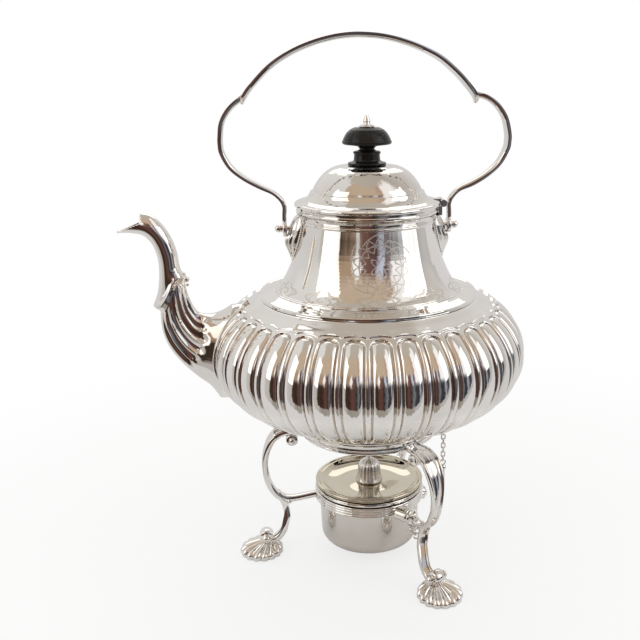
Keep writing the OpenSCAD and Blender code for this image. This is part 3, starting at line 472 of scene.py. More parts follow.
class KettleFinish(bpy.types.PropertyGroup):
    silver_colour: bpy.props.FloatVectorProperty(
        name="Silver", description="Colour of the polished silver plate",
        default=(0.90, 0.88, 0.85), min=0, max=1, subtype="COLOR")
    tarnish_colour: bpy.props.FloatVectorProperty(
        name="Tarnish", description="Colour of the tarnish in grooves and patches",
        default=(0.50, 0.42, 0.34), min=0, max=1, subtype="COLOR")
    lamp_colour: bpy.props.FloatVectorProperty(
        name="Lamp plate", description="Colour of the lamp's worn plate",
        default=(0.73, 0.70, 0.66), min=0, max=1, subtype="COLOR")
    cover_colour: bpy.props.FloatVectorProperty(
        name="Lamp cover", description="Colour of the lamp's brassy cover, where its plate is worn through",
        default=(0.70, 0.64, 0.53), min=0, max=1, subtype="COLOR")
    knob_colour: bpy.props.FloatVectorProperty(
        name="Knob", description="Colour of the lid's knob",
        default=(0.006, 0.0055, 0.0055), min=0, max=1, subtype="COLOR")
    wick_colour: bpy.props.FloatVectorProperty(
        name="Wick", description="Colour of the lamp's wick",
        default=(0.93, 0.90, 0.82), min=0, max=1, subtype="COLOR")
    polish: bpy.props.FloatProperty(
        name="Dullness", description="Roughness of the polished plate",
        default=0.035, min=0.01, max=0.4, subtype="FACTOR")
    backdrop_colour: bpy.props.FloatVectorProperty(
        name="Backdrop", description="Colour of the background",
        default=(1.0, 1.0, 1.0), min=0, max=1, subtype="COLOR")
    wall_colour: bpy.props.FloatVectorProperty(
        name="Wall", description="Warm colour of the wall that the metal mirrors",
        default=(0.55, 0.43, 0.32), min=0, max=1, subtype="COLOR")
    dark_colour: bpy.props.FloatVectorProperty(
        name="Dark", description="Colour of the dark uprights that the metal mirrors",
        default=(0.045, 0.02, 0.016), min=0, max=1, subtype="COLOR")


# Stage

def photograph_camera():
    data = bpy.data.cameras.new("camera")
    data.sensor_width = 36
    data.lens = CAMERA_LENS
    data.shift_x, data.shift_y = CAMERA_SHIFT
    data.clip_start = 0.01
    data.clip_end = 20
    camera = bpy.data.objects.new("camera", data)
    ahead = Vector((*CAMERA_HEADING, 0)).normalized()
    ahead = ahead * math.cos(CAMERA_DOWN) - Vector((0, 0, math.sin(CAMERA_DOWN)))
    level = ahead.cross(Vector((0, 0, 1))).normalized()
    above = level.cross(ahead)
    right = level * math.cos(CAMERA_ROLL) + above * math.sin(CAMERA_ROLL)
    up = above * math.cos(CAMERA_ROLL) - level * math.sin(CAMERA_ROLL)
    camera.matrix_world = Matrix.Translation(Vector(CAMERA_AT) * MM + Vector((AXIS_X * MM, 0, 0))) @ Matrix(
        (right, up, -ahead)).transposed().to_4x4()
    bpy.context.scene.collection.objects.link(camera)
    bpy.context.scene.camera = camera


# Place, aim, width, height and power of each soft lamp, in metres and watts
LAMPS = {
    "lamp_left": ((-1.2, -0.5, 0.75), (0, 0, 0.15), 0.8, 1.1, 2.4),
    "lamp_right": ((1.1, -0.45, 0.7), (0, 0, 0.15), 0.7, 0.9, 1.9),
    "lamp_back": ((0.1, 1.0, 1.2), (0, 0, 0.1), 1.2, 1.0, 2.6),
}


def soft_lamp(name, place, aim, width, height, power):
    data = bpy.data.lights.new(name, "AREA")
    data.shape = "RECTANGLE"
    data.size, data.size_y = width, height
    data.energy = power
    lamp = bpy.data.objects.new(name, data)
    lamp.location = place
    lamp.rotation_euler = (Vector(aim) - Vector(place)).to_track_quat("-Z", "Y").to_euler()
    bpy.context.scene.collection.objects.link(lamp)


def studio_floor(colour):
    """Pale floor that keeps the shadow, fades into the backdrop and ends close by in mirror images."""
    bm = bmesh.new()
    bmesh.ops.create_grid(bm, x_segments=2, y_segments=2, size=3.0)
    mesh = bpy.data.meshes.new("floor")
    bm.to_mesh(mesh)
    bm.free()
    material, tree, shader, place = new_material("floor_pale")
    feed_all(tree, shader, Base_Color=tuple(0.9 * c for c in colour), Roughness=0.6, Specular_IOR_Level=0.2)
    away = node_of(tree, "ShaderNodeVectorMath", {0: place}, operation="DISTANCE")
    away.inputs[1].default_value = (AXIS_X * MM, 0, 0)
    rays = node_of(tree, "ShaderNodeLightPath")

    def share(low, high, least, ray):
        span = ranged(tree, away.outputs["Value"], low, high, least, smooth=True)
        return Number(tree, span) * rays.outputs[ray]

    white = node_of(tree, "ShaderNodeEmission", {"Color": colour}).outputs["Emission"]
    faded = mixed_shader(tree, share(0.14, 0.5, 0.74, "Is Camera Ray"), shader.outputs["BSDF"], white)
    clear = node_of(tree, "ShaderNodeBsdfTransparent").outputs["BSDF"]
    ended = mixed_shader(tree, share(0.12, 0.17, 0.0, "Is Glossy Ray"), faded, clear)
    tree.links.new(ended, tree.nodes["Material Output"].inputs["Surface"])
    mesh.materials.append(material)
    floor = bpy.data.objects.new("floor", mesh)
    bpy.context.scene.collection.objects.link(floor)


# What the metal mirrors all round, by share of a turn from -X and by band of height
PALE = (0.76, 0.75, 0.73)
WINDOW = (1.0, 0.99, 0.98)
TABLE = (0.70, 0.69, 0.69)
CEILING = (0.50, 0.45, 0.39)
ROOM = {
    "table_edge": [
        (0.0, (0.55, 0.53, 0.51)), (0.1, (0.5, 0.48, 0.45)), (0.13, (0.33, 0.3, 0.26)),
        (0.31, (0.36, 0.33, 0.29)), (0.34, (0.5, 0.49, 0.48)), (1.0, (0.6, 0.59, 0.58)),
    ],
    "seat": [
        (0.0, (0.6, 0.58, 0.55)), (0.085, (0.5, 0.47, 0.43)), (0.1, (0.05, 0.035, 0.025)),
        (0.14, (0.045, 0.028, 0.02)), (0.16, "dark"), (0.2, (0.12, 0.06, 0.045)), (0.245, (0.1, 0.05, 0.04)),
        (0.26, (0.025, 0.02, 0.02)), (0.31, (0.2, 0.2, 0.22)), (0.33, (0.05, 0.045, 0.05)),
        (0.375, (0.04, 0.04, 0.05)), (0.4, (0.42, 0.44, 0.49)), (0.435, (0.03, 0.03, 0.04)),
        (0.465, (0.1, 0.1, 0.11)), (0.49, (0.5, 0.49, 0.48)), (0.56, (0.6, 0.59, 0.58)), (0.85, PALE),
        (1.0, PALE),
    ],
    "sitter": [
        (0.0, PALE), (0.07, PALE), (0.085, (0.42, 0.3, 0.21)), (0.165, (0.42, 0.3, 0.21)), (0.178, WINDOW),
        (0.198, WINDOW), (0.208, (0.22, 0.12, 0.09)), (0.262, (0.12, 0.06, 0.06)), (0.275, (0.5, 0.52, 0.62)),
        (0.297, (0.6, 0.63, 0.75)), (0.305, (0.1, 0.06, 0.06)), (0.325, (0.3, 0.24, 0.24)), (0.34, WINDOW),
        (0.45, WINDOW), (0.475, (0.55, 0.52, 0.49)), (0.7, PALE), (1.0, PALE),
    ],
    "wall": [
        (0.0, PALE), (0.055, PALE), (0.068, "wall"), (0.28, "wall"), (0.335, (0.5, 0.34, 0.26)),
        (0.35, WINDOW), (0.44, WINDOW), (0.47, (0.5, 0.46, 0.41)), (0.7, PALE), (1.0, PALE),
    ],
}
# Sine of the height where a band gives way to the next, before the room's edges are made uneven
BANDS = [(-0.75, -0.72, "table_edge"), (-0.56, -0.52, "seat"), (0.20, 0.38, "sitter"), (0.52, 0.66, "wall")]
CEILING_FROM, CEILING_FULL = 0.94, 1.03
# How far the noise moves those edges round and up, and how the room's dark part hangs lowest at its middle
EDGE_TURN, EDGE_RISE = 0.05, 0.16
DARK_MIDDLE, DARK_BOW = 0.22, -8.0


def room_ramp(tree, turn, stops, named):
    ramp = node_of(tree, "ShaderNodeValToRGB", {"Fac": turn})
    elements = ramp.color_ramp.elements
    for k, (where, colour) in enumerate((stops[0], stops[-1])):
        elements[k].position = where
        elements[k].color = (*named.get(colour, colour), 1)
    for where, colour in stops[1:-1]:
        elements.new(where).color = (*named.get(colour, colour), 1)
    return ramp.outputs["Color"]


def studio_world(backdrop, wall, dark):
    """White behind the object; the metal mirrors a pale room with a warm wall, windows and a dark part."""
    world = bpy.data.worlds.new("studio")
    bpy.context.scene.world = world
    world.use_nodes = True
    tree = world.node_tree
    plain = tree.nodes["Background"]
    feed_all(tree, plain, Color=(1, 0.99, 0.97), Strength=0.8)
    heading = node_of(tree, "ShaderNodeTexCoord").outputs["Generated"]
    x, y, z = axes_of(tree, heading)
    share = ranged(tree, y.math("ARCTAN2", x), -math.pi, math.pi, -EDGE_TURN / 2, 1 - EDGE_TURN / 2)
    noise = noise_of(tree, heading, 7, 4).outputs["Color"]
    waves = node_of(tree, "ShaderNodeSeparateColor", {"Color": noise})
    turn = Number(tree, waves.outputs["Red"]).math("MULTIPLY_ADD", EDGE_TURN, share)
    height = Number(tree, waves.outputs["Green"]).math("MULTIPLY_ADD", EDGE_RISE, z)
    aside = turn - DARK_MIDDLE
    bowed = (aside * aside).math("MULTIPLY_ADD", DARK_BOW, height)
    named = {"wall": wall, "dark": dark}
    colour = TABLE
    for low, high, band in BANDS:
        edge = ranged(tree, bowed if low < 0 else height, low, high, smooth=True)
        colour = mixed(tree, edge, colour, room_ramp(tree, turn, ROOM[band], named))
    colour = mixed(tree, ranged(tree, height, CEILING_FROM, CEILING_FULL, smooth=True), colour, CEILING)
    mirrored = node_of(tree, "ShaderNodeBackground", {"Color": colour}).outputs["Background"]
    seen = node_of(tree, "ShaderNodeBackground", {"Color": backdrop}).outputs["Background"]
    rays = node_of(tree, "ShaderNodeLightPath").outputs
    glossy = mixed_shader(tree, rays["Is Glossy Ray"], plain.outputs["Background"], mirrored)
    direct = Number(tree, rays["Is Camera Ray"]).math("MAXIMUM", rays["Is Transmission Ray"])
    final = mixed_shader(tree, direct, glossy, seen)
    tree.links.new(final, tree.nodes["World Output"].inputs["Surface"])


class KETTLE_OT_stage(bpy.types.Operator):
    """Set up the camera, the pale floor, the backdrop and the soft lamps"""
    bl_idname = "kettle.stage"
    bl_label = "Stage"

    def execute(self, context):
        finish = context.scene.kettle_finish
        photograph_camera()
        studio_floor(tuple(finish.backdrop_colour))
        studio_world(tuple(finish.backdrop_colour), tuple(finish.wall_colour), tuple(finish.dark_colour))
        for name, values in LAMPS.items():
            soft_lamp(name, *values)
        context.scene.view_settings.view_transform = "Standard"
        return {"FINISHED"}


class KETTLE_OT_plate(bpy.types.Operator):
    """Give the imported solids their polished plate, worn lamp plate, black knob and cotton"""
    bl_idname = "kettle.plate"
    bl_label = "Finishes"

    def execute(self, context):
        finishes = {"wick": "wick_cotton", "shoulder": "plate_engraved"}
        finishes.update({name: "plate_lamp" for name in LAMP_NODES})
        finishes.update({name: "knob_gloss" for name in KNOB_NODES})
        for name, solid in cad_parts.items():
            solid.data.materials.clear()
            solid.data.materials.append(made_material(finishes.get(name, "plate_polished")))
        return {"FINISHED"}


# Kettle

LOBE_PHASE = 0.82
# Half width of a lobe and how wide its edge is, as shares of the pitch; where the round heads of the lobes
# start, in degrees up the belly, and the scalloped bead over them: its lowest place, rise, depth and half
# width
LOBE_HALF, LOBE_EDGE, RIB_EDGE = 0.35, 0.035, 0.045
HEAD_START, BEAD_LOW, BEAD_RISE, BEAD_RAISE, BEAD_WIDTH = 43.6, 50.8, 2.8, 0.42, 0.5
# Degrees up the belly between which its rows lie closest, for the lobes' heads and their bead
HEADS_LOW, HEADS_HIGH = 41.5, 54.5
BELLY_WALL = 3.8


def lobe_columns():
    half = [0.1, 0.19, 0.26, 0.31, 0.34, 0.358, 0.392, 0.415, 0.44]
    return [-0.5] + [-s for s in reversed(half)] + [0.0] + half


def lobe_drop(across, a, pitch):
    """Depth of the belly below its crests at a place across one lobe, as a share of the relief."""
    edge = BEAD_LOW + BEAD_RISE * math.sqrt(max(0.0, 1 - (across / 0.51) ** 2))
    up = max(0.0, (a - HEAD_START) * 0.8 / pitch)
    out = math.hypot(across, up) - LOBE_HALF
    if out < 0:
        share = 1 + out / LOBE_HALF
        drop = 1 - math.sqrt(max(0.0, 1 - share * share))
    else:
        drop = 1 - 0.65 * ease((out - LOBE_EDGE) / RIB_EDGE)
    plain = 0.6 - 0.57 * ease((a - 60) / 8.3)
    bead = BEAD_RAISE * math.exp(-((a - edge) / BEAD_WIDTH) ** 2)
    return drop + (plain - drop) * ease((a - edge) / BEAD_WIDTH) - bead


class KETTLE_OT_belly(bpy.types.Operator):
    """Raise the lobed belly: a spun section whose columns are pushed into lobes, grooves and ribs"""
    bl_idname = "kettle.belly"
    bl_label = "Belly"

    def execute(self, context):
        sizes = context.scene.kettle_sizes
        lobes, relief = sizes.lobes, sizes.relief / MM
        top = math.degrees(math.acos((SHOULDER_R - HIGH_R) / (BELLY_R - HIGH_R)))
        low = -math.degrees(math.acos((BAND_R - LOW_R) / (BELLY_R - LOW_R)))
        rows = [low + (HEADS_LOW - low) * k / 32 for k in range(32)]
        rows += [HEADS_LOW + (HEADS_HIGH - HEADS_LOW) * k / 46 for k in range(46)]
        rows += [HEADS_HIGH + (top - HEADS_HIGH) * k / 7 for k in range(8)]
        outer = [belly_point(a) for a in rows]
        inner = []
        for a in [top - (top + 62) * k / 12 for k in range(1, 13)]:
            r, z = belly_point(a)
            turn = math.radians(a)
            inner.append((r - BELLY_WALL * math.cos(turn), z - BELLY_WALL * math.sin(turn)))
        band = [(FLOOR_R - 2, outer[0][1] + 2.4), (FLOOR_R - 2, FLOOR_Z), (BAND_R - 0.6, FLOOR_Z),
                (BAND_R - 0.1, FLOOR_Z + 0.5), (BAND_R, outer[0][1] - 0.4)]
        outline = outer + [(SHOULDER_R - BELLY_WALL, outer[-1][1])] + inner + band
        columns = lobe_columns()
        bm = bmesh.new()
        rank = bm.verts.layers.int.new("row")
        depth = bm.verts.layers.float.new("groove_depth")
        verts = [bm.verts.new((r, 0, z)) for r, z in outline]
        edges = [bm.edges.new(pair) for pair in zip(verts, verts[1:] + verts[:1])]
        for i, vert in enumerate(verts):
            vert[rank] = i
        steps = lobes * len(columns)
        bmesh.ops.spin(bm, geom=verts + edges, cent=(0, 0, 0), axis=(0, 0, 1), angle=2 * math.pi,
                       steps=steps, use_merge=True)
        for vert in bm.verts:
            step = round(math.atan2(vert.co.y, vert.co.x) * steps / (2 * math.pi)) % steps
            lobe, column = divmod(step, len(columns))
            across = columns[column]
            turn = (lobe + across + LOBE_PHASE) * 2 * math.pi / lobes
            r, z = outline[vert[rank]]
            if vert[rank] < len(rows):
                a = rows[vert[rank]]
                drop = lobe_drop(across, a, 2 * math.pi * r / lobes)
                fade = ease((r - 50.5) / 12) if a < 0 else 1.0
                vert[depth] = max(0.0, (drop - 0.7) / 0.3) * fade if a < 53 else 0.0
                d = relief * r / BELLY_R * drop * fade
                r -= d * math.cos(math.radians(a))
                z -= d * math.sin(math.radians(a))
            vert.co = round_axis(r, turn, z)
        add_piece(bm, "lobed_belly", "kettle", "belly", finish="plate_lobed", crease=60)
        # The lugs' roots, up into the flatter underside
        bm = bmesh.new()
        for x in (-TILT_X, LUG_X):
            scale = Matrix.Diagonal((*LUG_SIZE, 5.4, 1))
            bmesh.ops.create_cube(bm, size=1, matrix=Matrix.Translation((x, 0, FLOOR_Z + 3.4)) @ scale)
        add_piece(bm, "lug_roots", "kettle")
        return {"FINISHED"}


# Distance back from the tip and height above the underside, for the spout's outer and inner edge, and half
# width
LEAF = [
    (56, 18.5, 66, 80.5, 19.5), (50, 27.5, 58.5, 76.2, 16.2), (41.5, 34.6, 51, 74.6, 12.6),
    (33, 43.2, 45, 75.8, 10.4), (26, 53, 41.6, 80.4, 9.4), (22.4, 62.4, 39.4, 86, 8.8),
    (21.4, 71, 38.2, 90.8, 8.2), (21.5, 77.6, 37.6, 94.8, 7.7),
]
LIP = [
    (20.6, 79.2, 37.8, 96.0, 7.8), (18.4, 80.4, 38.3, 97.2, 8.2), (17.6, 81.6, 38.7, 98.2, 8.4),
    (17.9, 82.9, 38.5, 99.2, 8.2), (19.2, 85.6, 37.4, 100.4, 7.6),
]
SWAN_NECK = [
    (20.6, 89.6, 36.2, 101.6, 7.1), (21.7, 95.4, 35.3, 104.2, 6.8), (22.4, 103, 34.7, 107.6, 6.6),
    (22.1, 111, 33.8, 115, 6.5), (19.6, 119.6, 30.6, 124.6, 6.4), (14.6, 125.4, 25.4, 132.8, 6.1),
    (8.4, 127, 19.4, 138, 5.2), (3, 127.4, 10, 138.6, 3.4), (-1, 127.2, 3, 134, 1.5),
]
# Line of the mouth, from below the beak's point to the front of the hood, and how far back it is cut
MOUTH = [(-3, 126.5), (13.2, 133.5), (14.2, 143)]
MOUTH_BACK = 24
SPOUT_STRETCH = (SPOUT_REACH - SPOUT_ROOT) / 60
# Points round the spout, and the degrees down its side that its leaf's flutes take up, each of one width
SPOUT_SIDES = 96
FLUTES_FROM, FLUTES_TO, FLUTE_WIDTH = 14, 146, 22
# Distance back, height and radius of the balls of the leaf's knob
LEAF_KNOB = [(38.7, 97.2, 1.7), (37.0, 100.6, 1.25), (39.0, 93.8, 1.0)]


def spout_places(section, along, flutes, sway):
    """One ring round the spout; along runs from 0 at the belly to 1 at the leaf's swaying edge."""
    low = Vector((section[0] * SPOUT_STRETCH - SPOUT_REACH, 0, section[1] + BASE_Z))
    high = Vector((section[2] * SPOUT_STRETCH - SPOUT_REACH, 0, section[3] + BASE_Z))
    centre, half = (low + high) / 2, (high - low) / 2
    places = []
    for k in range(SPOUT_SIDES):
        turn = k * 2 * math.pi / SPOUT_SIDES
        side = math.degrees(turn) if k <= SPOUT_SIDES / 2 else 360 - math.degrees(turn)
        cut = 0.0
        if flutes and FLUTES_FROM < side < FLUTES_TO:
            across = (side - FLUTES_FROM) / FLUTE_WIDTH
            share = (across - math.floor(across)) * 2 - 1
            start = 0.22 + 0.10 * abs(across - 2.6) / 3
            length = ease((along - start - 0.06 * share * share) / 0.06)
            length *= 1 - 0.7 * ease((along - 0.6) / 0.4)
            cut = 0.17 * (1 - share * share) * length
        height = (1 + math.cos(turn)) / 2
        lift = sway * (1.2 * math.sin(math.pi * height) - 3.9 * math.sin(2 * math.pi * height))
        place = centre + (half * math.cos(turn) + Vector((0, section[4], 0)) * math.sin(turn)) * (1 - cut)
        places.append(place + Vector((0, 0, lift)))
    return places


class KETTLE_OT_spout(bpy.types.Operator):
    """Raise the swan neck spout: a fluted leaf below, a plain neck above and an open beak"""
    bl_idname = "kettle.spout"
    bl_label = "Spout"

    def execute(self, context):
        wall = context.scene.kettle_sizes.spout_wall
        leaf = smooth_path(LEAF, 8)
        ends = len(leaf) - 1
        rings = [spout_places(section, i / ends, True, ease((i / ends - 0.62) / 0.38))
                 for i, section in enumerate(leaf)]
        rings[0] = [self.seat(place, -1.2) for place in rings[0]]
        seam = rings[0]
        rings += [spout_places(section, 1, False, 1) for section in smooth_path(LIP, 4)]
        neck = smooth_path(SWAN_NECK, 6)
        rings += [spout_places(section, 1, False, 1 - ease(i / 14)) for i, section in enumerate(neck)]
        bm = bmesh.new()
        loft(bm, rings, low_cap=False)
        # The mouth is cut out above the long lower lip and in front of the hood
        for (x0, z0), (x1, z1) in zip(MOUTH, MOUTH[1:]):
            faces = [f for f in bm.faces if f.calc_center_median().x < MOUTH_BACK - SPOUT_REACH]
            geom = list({v for f in faces for v in f.verts}) + list({e for f in faces for e in f.edges})
            bmesh.ops.bisect_plane(bm, geom=geom + faces, plane_co=(x0 - SPOUT_REACH, 0, z0 + BASE_Z),
                                   plane_no=(z0 - z1, 0, x1 - x0))
        gone = [f for f in bm.faces if self.in_mouth(f.calc_center_median())]
        bmesh.ops.delete(bm, geom=gone, context="FACES")
        piece = add_piece(bm, "swan_neck_spout", "kettle", "spout", crease=50)
        shell = piece.modifiers.new("wall", "SOLIDIFY")
        shell.thickness = wall
        shell.offset = -1
        self.trim(seam)
        return {"FINISHED"}

    @staticmethod
    def seat(place, depth):
        """The place moved along X onto the belly, or a depth off it."""
        r = belly_radius(place.z) + depth
        return Vector((-math.sqrt(max(0.0, r * r - place.y * place.y)), place.y, place.z))

    @staticmethod
    def in_mouth(place):
        back, height = place.x + SPOUT_REACH, place.z - BASE_Z
        for (x0, z0), (x1, z1) in zip(MOUTH, MOUTH[1:]):
            if back < x1:
                return height > z0 + (back - x0) * (z1 - z0) / (x1 - x0)
        return False

    def trim(self, seam):
        """The uneven soldered bead round the spout's root, and the leaf's knob behind the neck."""
        bm = bmesh.new()
        bead = []
        for k in range(0, SPOUT_SIDES, 2):
            turn = k * 2 * math.pi / SPOUT_SIDES
            wave = 0.7 * math.sin(turn * 9) + 0.5 * math.sin(turn * 14 + 1.3)
            place = seam[k] + Vector((0, seam[k].y, seam[k].z - BASE_Z - 48)).normalized() * (0.5 + wave)
            bead.append(self.seat(place, -0.5))
        wire_loop(bm, bead + bead[:1], 1.15)
        for back, height, size in LEAF_KNOB:
            bmesh.ops.create_icosphere(bm, subdivisions=3, radius=size, matrix=Matrix.Translation(
                (back * SPOUT_STRETCH - SPOUT_REACH, 0, height + BASE_Z)))
        add_piece(bm, "spout_bead_and_knob", "kettle")


# Height, how far the ear stands off the neck, its half width and the height of its ribs
EAR = [
    (229, 1.4, 7.0, 0), (227.4, 3.4, 7.8, 0.1), (225.4, 5.0, 8.4, 0.2), (223.2, 6.2, 8.8, 0.35),
    (220.5, 6.6, 9, 0.5), (217.6, 6.6, 8.8, 0.7), (215.4, 7.4, 8.4, 0.9), (213.4, 7.7, 7.8, 1.0),
    (211, 7.2, 7.0, 1.0), (208.6, 5.9, 6.0, 1.0), (206.2, 4.2, 4.9, 0.9), (204, 2.6, 3.8, 0.7),
    (202, 1.3, 2.6, 0.5), (200.5, 0.5, 1.4, 0.3),
]
NECK_LINE = [(187.56, 53.5), (197.5, 48.5), (207.5, 45.1), (224, NECK_R), (230, NECK_R + 0.6)]


def neck_radius(z):
    for (z0, r0), (z1, r1) in zip(NECK_LINE, NECK_LINE[1:]):
        if z <= z1:
            return r0 + (r1 - r0) * (z - z0) / (z1 - z0)
    return NECK_LINE[-1][1]


class KETTLE_OT_ears(bpy.types.Operator):
    """Chase the two leaf ears that carry the handle: ribs that run down to a point between beaded edges"""
    bl_idname = "kettle.ears"
    bl_label = "Ears"

    def execute(self, context):
        for name, side in (("spout_side", -1), ("lid_side", 1)):
            rings = []
            for z, out, half, rib in smooth_path(EAR, 3):
                r = neck_radius(z)
                ring = []
                for k in range(65):
                    t = k / 32 - 1
                    stand = out * (1 - abs(t) ** 2.2) ** 0.8
                    ribbed = rib * (math.cos(7 * math.pi * t) - 1) / 2 * (1 - abs(t) ** 6)
                    ring.append((math.sqrt(r * r - (half * t) ** 2) + stand + ribbed, half * t, z))
                for k in range(1, 16):
                    t = 1 - k / 8
                    ring.append((math.sqrt((r - 1) ** 2 - (half * t * 0.9) ** 2), half * t * 0.9, z))
                rings.append([Vector((side * x, y, z)) for x, y, z in ring])
            bm = bmesh.new()
            loft(bm, rings)
            edge = [(z, half) for z, out, half, rib in smooth_path(EAR[1:-2], 6)]
            for z, half in edge[::3]:
                r = neck_radius(z) + 0.2
                for y in (-half, half):
                    bmesh.ops.create_icosphere(
                        bm, subdivisions=2, radius=0.5 + 0.05 * half,
                        matrix=Matrix.Translation((side * math.sqrt(r * r - y * y), y, z)))
            add_piece(bm, "leaf_ear_" + name, "kettle", "ear_" + name, crease=50)
        return {"FINISHED"}


class KETTLE_OT_shoulder_reeds(bpy.types.Operator):
    """Lay the pair of fine reeds round the shoulder"""
    bl_idname = "kettle.shoulder_reeds"
    bl_label = "Shoulder reeds"

    def execute(self, context):
        bm = bmesh.new()
        for r, z, size in ((SHOULDER_R - 9.2, 182.5, 0.42), (SHOULDER_R - 10.6, 183.1, 0.3)):
            turned(bm, wire_section(r, z, size), (0, 0, 0), (0, 0, 1), steps=160)
        add_piece(bm, "shoulder_reeds", "kettle", doubles=1e-4)
        return {"FINISHED"}


# Handle

def both_sides(half, back):
    """Outline of a strap from its right half, front to back, and the middle of its back."""
    return half + [back] + [(u, -v) for u, v in reversed(half[1:])]


def strap_outline():
    """Section of the handle's strap: raised rims with a shallow face between them, and a rounded back."""
    half = [(0.40, 0.0), (0.42, 0.14), (0.36, 0.27), (0.30, 0.31), (0.46, 0.36), (0.52, 0.42), (0.46, 0.48),
            (0.2, 0.5), (-0.2, 0.48), (-0.4, 0.36), (-0.48, 0.18)]
    return both_sides(half, (-0.5, 0.0))


# Middle line of each part of the handle: distance from the axis and height above the pivots in millimetres,
# and width as a share of the strap's
HANDLE_ARM = [(51.4, 5.0, 0.62), (51.4, 7.0, 0.62), (51.3, 9.6, 0.62), (51.2, 13.6, 0.64), (53.0, 17.8, 0.68),
              (57.8, 22.3, 0.7)]
LOBE_SPOUT_SIDE = [
    (65.9, 26.5, 0.8), (74.7, 31.5, 0.9), (82.6, 38.1, 1.0), (87.1, 46.3, 1.14), (87.9, 51.2, 1.18),
    (87.8, 55.8, 1.18), (86.4, 64.5, 1.06), (81.3, 72.5, 0.86), (72.6, 79.4, 0.56),
]
LOBE_LID_SIDE = [
    (65.9, 25.8, 0.8), (74.7, 31.1, 0.9), (82.2, 38.0, 1.02), (86.7, 46.3, 1.2), (87.6, 51.2, 1.26),
    (87.4, 56.5, 1.26), (85.0, 65.6, 1.14), (79.8, 73.0, 0.98), (73.6, 77.4, 0.8), (66.4, 79.4, 0.56),
]
HANDLE_ARCH = [
    (-74.2, 74.6, 0.1), (-73.8, 76.6, 0.6), (-72.4, 79.6, 1.0), (-67.9, 85.4, 1.22), (-57.2, 96.0, 1.2),
    (-45.0, 103.8, 1.12), (-32.3, 109.1, 1.06), (-19.9, 112.4, 1.02), (-8.8, 113.8, 1.0), (0.0, 113.8, 1.0),
    (9.0, 113.0, 1.02), (19.1, 110.9, 1.08), (31.5, 106.8, 1.18), (44.0, 100.6, 1.32), (55.2, 91.4, 1.44),
    (62.2, 83.8, 1.46), (66.2, 78.6, 1.2), (66.8, 76.0, 0.7), (66.4, 74.2, 0.1),
]


class KETTLE_OT_handle(bpy.types.Operator):
    """Bend the bail handle: an arch with leaf points, two side lobes, and thin arms that end in eyes"""
    bl_idname = "kettle.handle"
    bl_label = "Handle"

    def execute(self, context):
        sizes = context.scene.kettle_sizes
        thick, wide = sizes.strap_thickness / MM, sizes.strap_width / MM
        outline = strap_outline()
        bm = bmesh.new()
        ends = len(HANDLE_ARCH) - 1
        arch = [(x, PIVOT_Z + z, thick * (0.4 if k in (0, ends) else 0.8 if k in (1, ends - 1) else 1),
                 w * wide) for k, (x, z, w) in enumerate(HANDLE_ARCH)]
        sweep(bm, smooth_path(arch, 8), outline)
        for side, lobe in ((-1, LOBE_SPOUT_SIDE), (1, LOBE_LID_SIDE)):
            path = [(side * x, PIVOT_Z + z, thick * (0.8 if k < 6 else 0.95), w * wide)
                    for k, (x, z, w) in enumerate(HANDLE_ARM + lobe)]
            sweep(bm, smooth_path(path, 6), [(-side * u, v) for u, v in outline])
        for side in (-1, 1):
            eye = [
                (1.65, -1.3), (4.2, -1.3), (4.8, -1.0), (5.0, -0.4), (5.0, 0.4), (4.8, 1.0), (4.2, 1.3),
                (1.65, 1.3),
            ]
            turned(bm, eye, (side * PIVOT_X, 0, PIVOT_Z), (1, 0, 0))
        add_piece(bm, "bail", "bail_handle", "handle", crease=50)
        return {"FINISHED"}


# Stand

def leg_outline():
    """Section of a leg: raised rims and a pointed middle ridge on its outer face."""
    half = [
        (0.52, 0.0), (0.34, 0.20), (0.26, 0.31), (0.30, 0.34), (0.46, 0.39), (0.48, 0.45), (0.34, 0.5),
        (-0.1, 0.5), (-0.4, 0.42), (-0.5, 0.2),
    ]
    return both_sides(half, (-0.5, 0.0))


def stray(bm, name):
    """Sways the low part of a leg, or its foot, to the place where that foot stands."""
    x, y = FOOT_STRAY[name]
    for vert in bm.verts:
        share = ease((34 - vert.co.z) / 20)
        vert.co += Vector((x * share, y * share, 0))


def roll(bm, centre, radius, length, turn, ball):
    """Rolled end across a leg: a cylinder with a ball at each end."""
    half = length / 2
    side = [
        (0, -half - ball * 0.9), (ball * 0.7, -half - ball * 0.6), (ball, -half),
        (ball * 0.75, -half + ball * 0.4), (radius - 0.5, -half + ball * 0.5),
        (radius, -half + ball * 0.5 + 0.5), (radius, 0),
    ]
    outline = side + [(r, -h) for r, h in reversed(side[:-1])]
    axis = turn @ Vector((0, 1, 0))
    turned(bm, outline, turn @ Vector(centre), axis)


